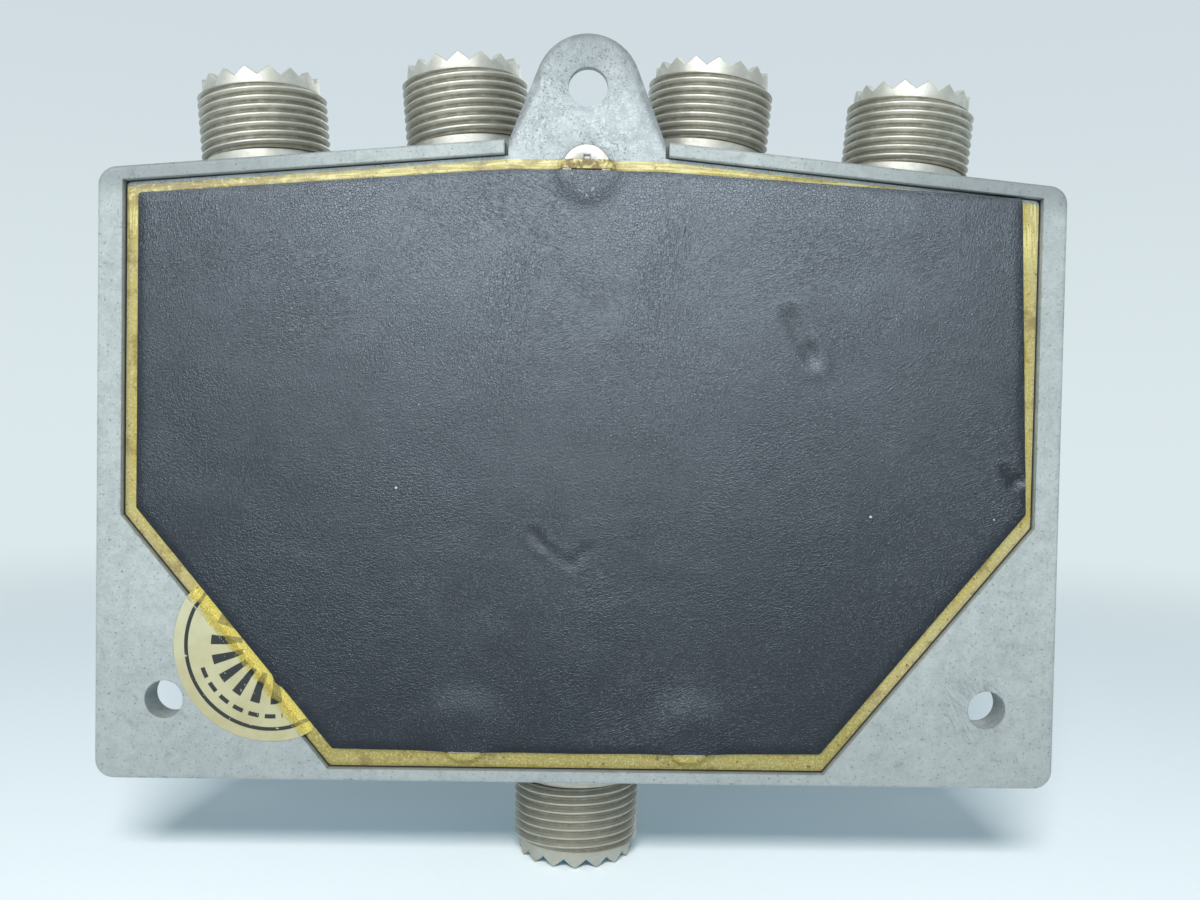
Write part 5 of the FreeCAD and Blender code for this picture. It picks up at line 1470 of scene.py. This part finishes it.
@dataclass
class CoaxSocket:
    """A threaded shell with its collar, serrated crown and spigot.

    The profile of the thread gives shares of a pitch along the axis and shares of the depth.
    """

    place: SocketPlace
    depth: float = 12.3
    thread_radius: float = 7.94
    thread_depth: float = 0.62
    pitch: float = 1.0583
    profile: tuple[Point, ...] = ((0.06, 0.0), (0.16, 0.14), (0.36, 0.84), (0.42, 0.97), (0.50, 1.0),
                                  (0.58, 0.97), (0.64, 0.84), (0.84, 0.14), (0.94, 0.0))
    collar_radius: float = 7.5
    collar_height: float = 2.2
    crown_radius: float = 7.2
    crown_foot: float = 10.1
    crown_top: float = 12.3
    chamfer: float = 0.12
    lip: float = 0.1
    mouth_start: float = 0.5
    tooth_height: float = 1.1
    teeth: int = 16
    steps_per_tooth: int = 8
    mouth_radius: float = 6.1
    step_height: float = 1.0
    spigot_radius: float = 5.9
    spigot_bore: float = 4.5
    spigot_end: float = -6.8

    @property
    def steps(self) -> int:
        """Steps round the axis."""
        return self.teeth * self.steps_per_tooth

    def thread(self, mesh: Mesh) -> None:
        """Wind the thread, one turn of a profile that repeats along the axis.

        Args:
            mesh: the empty mesh.
        """
        root = self.thread_radius - self.thread_depth
        turns = math.ceil((self.crown_foot - self.collar_height) / self.pitch) + 4
        column = [mesh.verts.new((root + self.thread_depth * rise, 0.0,
                                  self.collar_height + self.pitch * (turn - 2 + share)))
                  for turn in range(turns) for share, rise in self.profile]
        links = [mesh.edges.new(pair) for pair in zip(column, column[1:])]
        bmesh.ops.spin(mesh, geom=[*column, *links], cent=(0.0, 0.0, 0.0), axis=(0.0, 0.0, 1.0),
                       dvec=(0.0, 0.0, self.pitch / self.steps), angle=math.tau, steps=self.steps)
        bmesh.ops.remove_doubles(mesh, verts=mesh.verts, dist=1e-3)
        for height, outwards in ((self.collar_height, -1.0), (self.crown_foot, 1.0)):
            Workshop.cut(mesh, (0.0, 0.0, height), (0.0, 0.0, outwards))

    @staticmethod
    def rim(mesh: Mesh, height: float) -> list[bmesh.types.BMEdge]:
        """The edges of the loop where the thread ends at a height."""
        return [edge for edge in mesh.edges
                if edge.is_boundary and all(abs(v.co.z - height) < 1e-3 for v in edge.verts)]

    def tooth(self, vertex: Vector) -> float:
        """Height of the crown's top edge at a place round the axis.

        Args:
            vertex: the place.

        Returns:
            The height along the axis.
        """
        turn = math.atan2(vertex.y, vertex.x) / math.tau * self.teeth
        fall = 2.0 * abs(turn - round(turn))
        return self.crown_top - self.tooth_height * min(1.0, fall)

    @staticmethod
    def carry(mesh: Mesh, loop: list[bmesh.types.BMEdge], radius: float,
              height: Callable[[Vector], float]) -> list[bmesh.types.BMEdge]:
        """Extrude a loop to another radius and height.

        Args:
            mesh: the mesh.
            loop: the loop's edges.
            radius: the new radius.
            height: the new height at each place.

        Returns:
            The edges of the new loop.
        """
        made = bmesh.ops.extrude_edge_only(mesh, edges=loop)["geom"]
        for vertex in (part for part in made if isinstance(part, bmesh.types.BMVert)):
            flat = Vector((vertex.co.x, vertex.co.y)).normalized() * radius
            vertex.co = (flat.x, flat.y, height(vertex.co))
        return [part for part in made if isinstance(part, bmesh.types.BMEdge) and part.is_boundary]

    def shell(self) -> Thing:
        """The whole shell as one closed mesh."""
        mesh = bmesh.new()
        self.thread(mesh)
        upper = self.rim(mesh, self.crown_foot)
        for radius, height in (
                (self.crown_radius + self.chamfer, lambda _: self.crown_foot),
                (self.crown_radius, lambda _: self.crown_foot + self.chamfer),
                (self.crown_radius, lambda co: self.tooth(co) - self.chamfer),
                (self.crown_radius - self.lip, self.tooth),
                (self.mouth_radius + self.lip, self.tooth),
                (self.mouth_radius, lambda co: self.tooth(co) - self.chamfer),
                (self.mouth_radius, lambda _: self.crown_foot - self.mouth_start)):
            upper = self.carry(mesh, upper, radius, height)
        lower = self.rim(mesh, self.collar_height)
        for radius, height in (
                (self.collar_radius - self.chamfer, self.collar_height),
                (self.collar_radius, self.collar_height - self.chamfer), (self.collar_radius, 0.0),
                (self.spigot_radius, 0.0), (self.spigot_radius, self.spigot_end),
                (self.spigot_bore, self.spigot_end), (self.spigot_bore, self.step_height),
                (self.mouth_radius, self.step_height)):
            lower = self.carry(mesh, lower, radius, lambda _, level=height: level)
        bmesh.ops.bridge_loops(mesh, edges=[*upper, *lower])
        Workshop.close(mesh)
        groove = mesh.verts.layers.float.new("groove")
        for vertex in mesh.verts:
            radius = math.hypot(vertex.co.x, vertex.co.y)
            threaded = self.collar_height - 0.01 < vertex.co.z < self.crown_foot + 0.01
            sunk = (self.thread_radius - radius) / self.thread_depth
            vertex[groove] = min(1.0, max(0.0, sunk)) if threaded and radius > self.crown_radius else 0.0
        stand = Matrix.Rotation(math.radians(self.place.lean), 4, "Y")
        Workshop.shift(mesh, Matrix.Translation((self.place.x, -self.depth, self.place.z)) @ stand)
        label = self.place.name
        return Workshop.piece(f"threaded_shell_{label}", mesh, NICKEL, Rider.CASE, "nickel",
                              (f"socket_shell_{label}",), 30.0)

    def build(self, nodes: Nodes) -> None:
        """Build the shell and dress what it holds.

        Args:
            nodes: the CAD nodes.
        """
        self.shell()
        label = self.place.name
        Workshop.dress(nodes, {f"socket_insulator_{label}": INSULATOR, f"centre_contact_{label}": SILVERED,
                               f"line_strip_{label}": SILVERED})


@dataclass
class SwitchCase:
    """The casting and the cover with its lug."""

    cover_edge: float = 0.16
    screw_edge: float = 0.3

    def build(self, nodes: Nodes) -> None:
        """Dress the casting and build the cover and its screws with softened edges.

        Args:
            nodes: the CAD nodes.
        """
        Workshop.dress(nodes, {"housing": CASTING})
        Workshop.softened(nodes, "rear_cover", "cover_with_lug", SHEET_METAL, Rider.CASE, "cover_metal",
                          self.cover_edge)
        Workshop.softened(nodes, "cover_screws", "pan_screws", SCREW_METAL, Rider.CASE, "plated_screw",
                          self.screw_edge, 60.0, 3)


@dataclass
class FrontFace:
    """The dial plate's printed numbers and scale round the knob."""

    face: float = -25.6
    plate_edge: float = 0.15
    print_height: float = 0.05
    print_spread: float = 0.04
    angles: tuple[float, ...] = (-67.5, -22.5, 22.5, 67.5)
    number_radius: float = 25.2
    number_size: float = 6.2
    tick_span: Range = (19.4, 21.4)
    tick_width: float = 0.7
    arc_width: float = 0.35
    arc_steps: int = 60

    def at(self, radius: float, angle: float) -> Matrix:
        """Move to the middle of the printing at one place of the dial.

        Args:
            radius: distance from the knob's axis.
            angle: degrees clockwise from straight up.

        Returns:
            The move as a matrix.
        """
        turn = math.radians(angle)
        return Matrix.Translation((radius * math.sin(turn), self.face - self.print_height / 2,
                                   AXIS_HEIGHT + radius * math.cos(turn)))

    def number(self, text: str, angle: float) -> None:
        """A printed number.

        Args:
            text: the number.
            angle: its place round the dial, degrees.
        """
        curve = bpy.data.curves.new(f"number_{text}_line", "FONT")
        curve.body = text
        curve.size = self.number_size
        curve.extrude = self.print_height / 2
        curve.offset = self.print_spread
        curve.align_x = "CENTER"
        curve.align_y = "CENTER"
        curve.resolution_u = 6
        holder = bpy.data.objects.new(f"number_{text}_line", curve)
        flat = bpy.data.meshes.new_from_object(holder)
        mesh = bmesh.new()
        mesh.from_mesh(flat)
        bpy.data.objects.remove(holder)
        bpy.data.curves.remove(curve)
        bpy.data.meshes.remove(flat)
        bmesh.ops.remove_doubles(mesh, verts=mesh.verts, dist=1e-4)
        Workshop.shift(mesh, self.at(self.number_radius, angle) @ Matrix.Rotation(math.radians(90), 4, "X"))
        Workshop.piece(f"dial_number_{text}", mesh, MARKING, Rider.CASE, "pointer_white")

    def scale(self) -> None:
        """Lines at the four positions and the arc that joins them."""
        mesh = bmesh.new()
        near, far = self.tick_span
        for angle in self.angles:
            made = bmesh.ops.create_cube(mesh, size=1.0)["verts"]
            shape = Matrix.Diagonal((self.tick_width, self.print_height, far - near, 1.0))
            turn = Matrix.Rotation(math.radians(angle), 4, "Y")
            Workshop.shift(mesh, self.at((near + far) / 2, angle) @ turn @ shape, made)
        back, front = self.face, self.face - self.print_height
        outer = far + self.arc_width
        section = [mesh.verts.new((0.0, depth, AXIS_HEIGHT + radius))
                   for depth, radius in ((back, far), (front, far), (front, outer), (back, outer))]
        face = mesh.faces.new(section)
        first, last = self.angles[0], self.angles[-1]
        turn = Matrix.Rotation(math.radians(first), 4, "Y")
        about = Matrix.Translation((0.0, 0.0, AXIS_HEIGHT))
        Workshop.shift(mesh, about @ turn @ about.inverted(), section)
        bmesh.ops.spin(mesh, geom=[face], cent=(0.0, 0.0, AXIS_HEIGHT), axis=(0.0, 1.0, 0.0),
                       angle=math.radians(last - first), steps=self.arc_steps)
        Workshop.close(mesh)
        Workshop.piece("dial_scale", mesh, MARKING, Rider.CASE, "pointer_white")

    def build(self, nodes: Nodes) -> None:
        """Dress the plate and print its scale.

        Args:
            nodes: the CAD nodes.
        """
        Workshop.softened(nodes, "front_plate", "dial_plate", DIAL, Rider.CASE, "dial", self.plate_edge)
        for index, angle in enumerate(self.angles, 1):
            self.number(str(index), angle)
        self.scale()


@dataclass
class SelectorKnob:
    """The skirted knob with its metal disc and pointer."""

    edge: float = 0.22

    def build(self, nodes: Nodes) -> None:
        """Build the knob with softened edges and dress its small parts.

        Args:
            nodes: the CAD nodes.
        """
        Workshop.softened(nodes, "knob_body", "fluted_knob", KNOB_PLASTIC, Rider.SELECTOR, "knob_plastic",
                          self.edge, 40.0)
        Workshop.dress(nodes, {"knob_cap": KNOB_METAL, "knob_pointer": MARKING, "knob_set_screw": STEEL})


@dataclass
class Mechanism:
    """Parts inside the case and on the bushing."""

    finishes: dict[str, Finish] = field(default_factory=lambda: {
        "stator_plate": PHENOLIC, "stator_screws": SCREW_METAL, "fixed_contacts": SILVERED,
        "socket_nuts": NICKEL, "shaft_bushing": BRASS, "bushing_washer": STEEL, "bushing_nut": NICKEL,
        "index_plate": STEEL, "stop_pin": STEEL, "selector_shaft": STEEL, "rotor_hub": ACETAL,
        "hub_pin": STEEL, "contact_blade": SILVERED, "ground_disc": SILVERED, "rotor_rivets": BRASS,
        "detent_ball_a": STEEL, "detent_ball_b": STEEL, "detent_spring_a": STEEL,
        "detent_spring_b": STEEL, "retaining_clip": STEEL})

    def build(self, nodes: Nodes) -> None:
        """Dress each part."""
        Workshop.dress(nodes, self.finishes)


# --- studio --------------------------------------------------------------------------------------


@dataclass(frozen=True)
class Lamp:
    """A soft lamp aimed at the switch."""

    name: str
    place: Place
    size: tuple[float, float]
    power: float
    colour: Colour
    aim: Place = (0.0, 0.0, 0.03)

    def build(self) -> Thing:
        """Hang the lamp."""
        light = bpy.data.lights.new(self.name, "AREA")
        light.shape = "RECTANGLE"
        light.size, light.size_y = self.size
        light.energy = self.power
        light.color = self.colour
        made = Workshop.hang(self.name, light)
        made.location = self.place
        look = Vector(self.aim) - Vector(self.place)
        made.rotation_euler = look.to_track_quat("-Z", "Y").to_euler()
        return made


@dataclass
class Studio:
    """Plain pale floor, soft light and the camera."""

    floor_height: float = -0.0218
    floor_radius: float = 3.0
    pale_low: Colour = (0.715, 0.81, 0.835)
    pale_high: Colour = (0.63, 0.715, 0.755)
    horizon: Range = (-0.05, 0.35)
    camera_place: Place = (0.000018, 0.131658, 0.033752)
    camera_turn: Place = (88.5011, -1.01, 179.0912)
    lens: float = 33.472
    sensor: float = 36.0
    fill: float = 0.4
    floor_light: Colour = (0.90, 0.95, 0.96)
    floor_dull: Colour = (0.86, 0.91, 0.92)
    floor_glow: Colour = (0.02, 0.06, 0.09)
    floor_fade: Range = (110.0, 420.0)
    key_lamp: Lamp = Lamp("key_lamp", (0.12, 0.42, 0.36), (0.50, 0.36), 2.3, (1.0, 1.0, 0.99))
    front_lamp: Lamp = Lamp("front_lamp", (-0.35, -0.75, 0.55), (0.7, 0.6), 1.8, (1.0, 0.99, 0.97))
    floor_lamp: Lamp = Lamp("floor_lamp", (0.03, 0.42, 0.36), (0.22, 0.12), 3.3, (1.0, 1.0, 0.99))
    sheen: Lamp = Lamp("sheen_lamp", (0.0, 0.50, 0.20), (0.42, 0.07), 13.0, (0.75, 0.88, 1.0))

    def camera(self) -> None:
        """Set the camera behind the switch."""
        lens = bpy.data.cameras.new("camera")
        lens.sensor_fit = "HORIZONTAL"
        lens.sensor_width = self.sensor
        lens.lens = self.lens
        lens.clip_start = 0.005
        made = Workshop.hang("camera", lens)
        made.location = self.camera_place
        made.rotation_euler = [math.radians(angle) for angle in self.camera_turn]
        bpy.context.scene.camera = made

    def world(self) -> None:
        """A pale surrounding, a little darker above, that lights softly."""
        world = bpy.data.worlds.new("surrounding")
        world.use_nodes = True
        nodes = NodeTree(world.node_tree)
        direction = nodes.node("ShaderNodeTexCoord").outputs["Generated"]
        height = nodes.node("ShaderNodeSeparateXYZ", {0: direction}).outputs["Z"]
        pale = nodes.mix(nodes.span(height, *self.horizon), self.pale_low, self.pale_high)
        rays = nodes.node("ShaderNodeLightPath").outputs
        seen = nodes.most(rays["Is Camera Ray"], rays["Is Glossy Ray"], rays["Is Transmission Ray"])
        level = nodes.node("ShaderNodeMapRange", {"Value": seen, "To Min": self.fill}).outputs[0]
        background = nodes.node("ShaderNodeBackground", {"Color": pale, "Strength": level})
        nodes.node("ShaderNodeOutputWorld", {"Surface": background.outputs[0]})
        bpy.context.scene.world = world

    def floor(self) -> Thing:
        """A round pale floor that fades into the surrounding."""
        mesh = bmesh.new()
        bmesh.ops.create_circle(mesh, cap_ends=True, segments=96, radius=self.floor_radius)
        bmesh.ops.translate(mesh, vec=(0.0, 0.0, self.floor_height), verts=mesh.verts)
        data = bpy.data.meshes.new("floor")
        mesh.to_mesh(data)
        mesh.free()
        painter = Painter("pale_floor")
        grain = painter.noise(0.8, 3.0)
        pale = painter.mix(grain, self.floor_dull, self.floor_light)
        painter.set(Base_Color=pale, Roughness=0.6, Emission_Color=self.floor_glow, Emission_Strength=1.0)
        glow = painter.node("ShaderNodeEmission", {"Color": self.pale_low})
        fade = painter.span(painter.vector("LENGTH", painter.place), *self.floor_fade)
        both = painter.node("ShaderNodeMixShader",
                            {0: fade, 1: painter.shader.outputs[0], 2: glow.outputs[0]})
        painter.put(painter.output.inputs["Surface"], both.outputs[0])
        data.materials.append(painter.material)
        made = Workshop.hang("floor", data)
        return made

    def build(self) -> None:
        """Set up the studio."""
        bpy.context.scene.view_settings.view_transform = "Standard"
        self.camera()
        self.world()
        floor = self.floor()
        self.light_chosen(self.key_lamp, floor, "EXCLUDE")
        self.light_chosen(self.front_lamp, floor, "EXCLUDE")
        self.light_chosen(self.floor_lamp, floor, "INCLUDE")

    @staticmethod
    def light_chosen(lamp: Lamp, chosen: Thing, state: str) -> Thing:
        """Hang a lamp that lights one thing only, or all but one.

        Args:
            lamp: the lamp.
            chosen: the one thing.
            state: INCLUDE to light it alone, EXCLUDE to leave it out.

        Returns:
            The lamp as it hangs.
        """
        reached = bpy.data.collections.new(lamp.name + "_reach")
        reached.objects.link(chosen)
        reached.collection_objects[0].light_linking.link_state = state
        made = lamp.build()
        made.light_linking.receiver_collection = reached
        return made

    def light_sheet(self, sheet: Thing) -> None:
        """Hang the lamp whose soft reflection lies on the leatherette alone."""
        self.light_chosen(self.sheen, sheet, "INCLUDE").visible_diffuse = False


ROOF_SOCKETS = (-40.5, -14.8, 14.8, 40.5)
SOCKETS = (
    *(SocketPlace(str(number), x, APEX - abs(x) * math.tan(math.radians(ROOF_SLOPE)),
                  math.copysign(ROOF_SLOPE, x)) for number, x in enumerate(ROOF_SOCKETS, 1)),
    SocketPlace("common", 0.0, FOOT, 180.0))


def main() -> None:
    """Build and dress the whole switch in order."""
    logging.basicConfig(level=logging.INFO, format="%(message)s")
    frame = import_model()
    nodes = frame["nodes"]
    studio = Studio()
    studio.build()
    SwitchCase().build(nodes)
    studio.light_sheet(RearSkin().build())
    for place in SOCKETS:
        CoaxSocket(place).build(nodes)
    FrontFace().build(nodes)
    SelectorKnob().build(nodes)
    Mechanism().build(nodes)


if __name__ == "__main__":
    main()
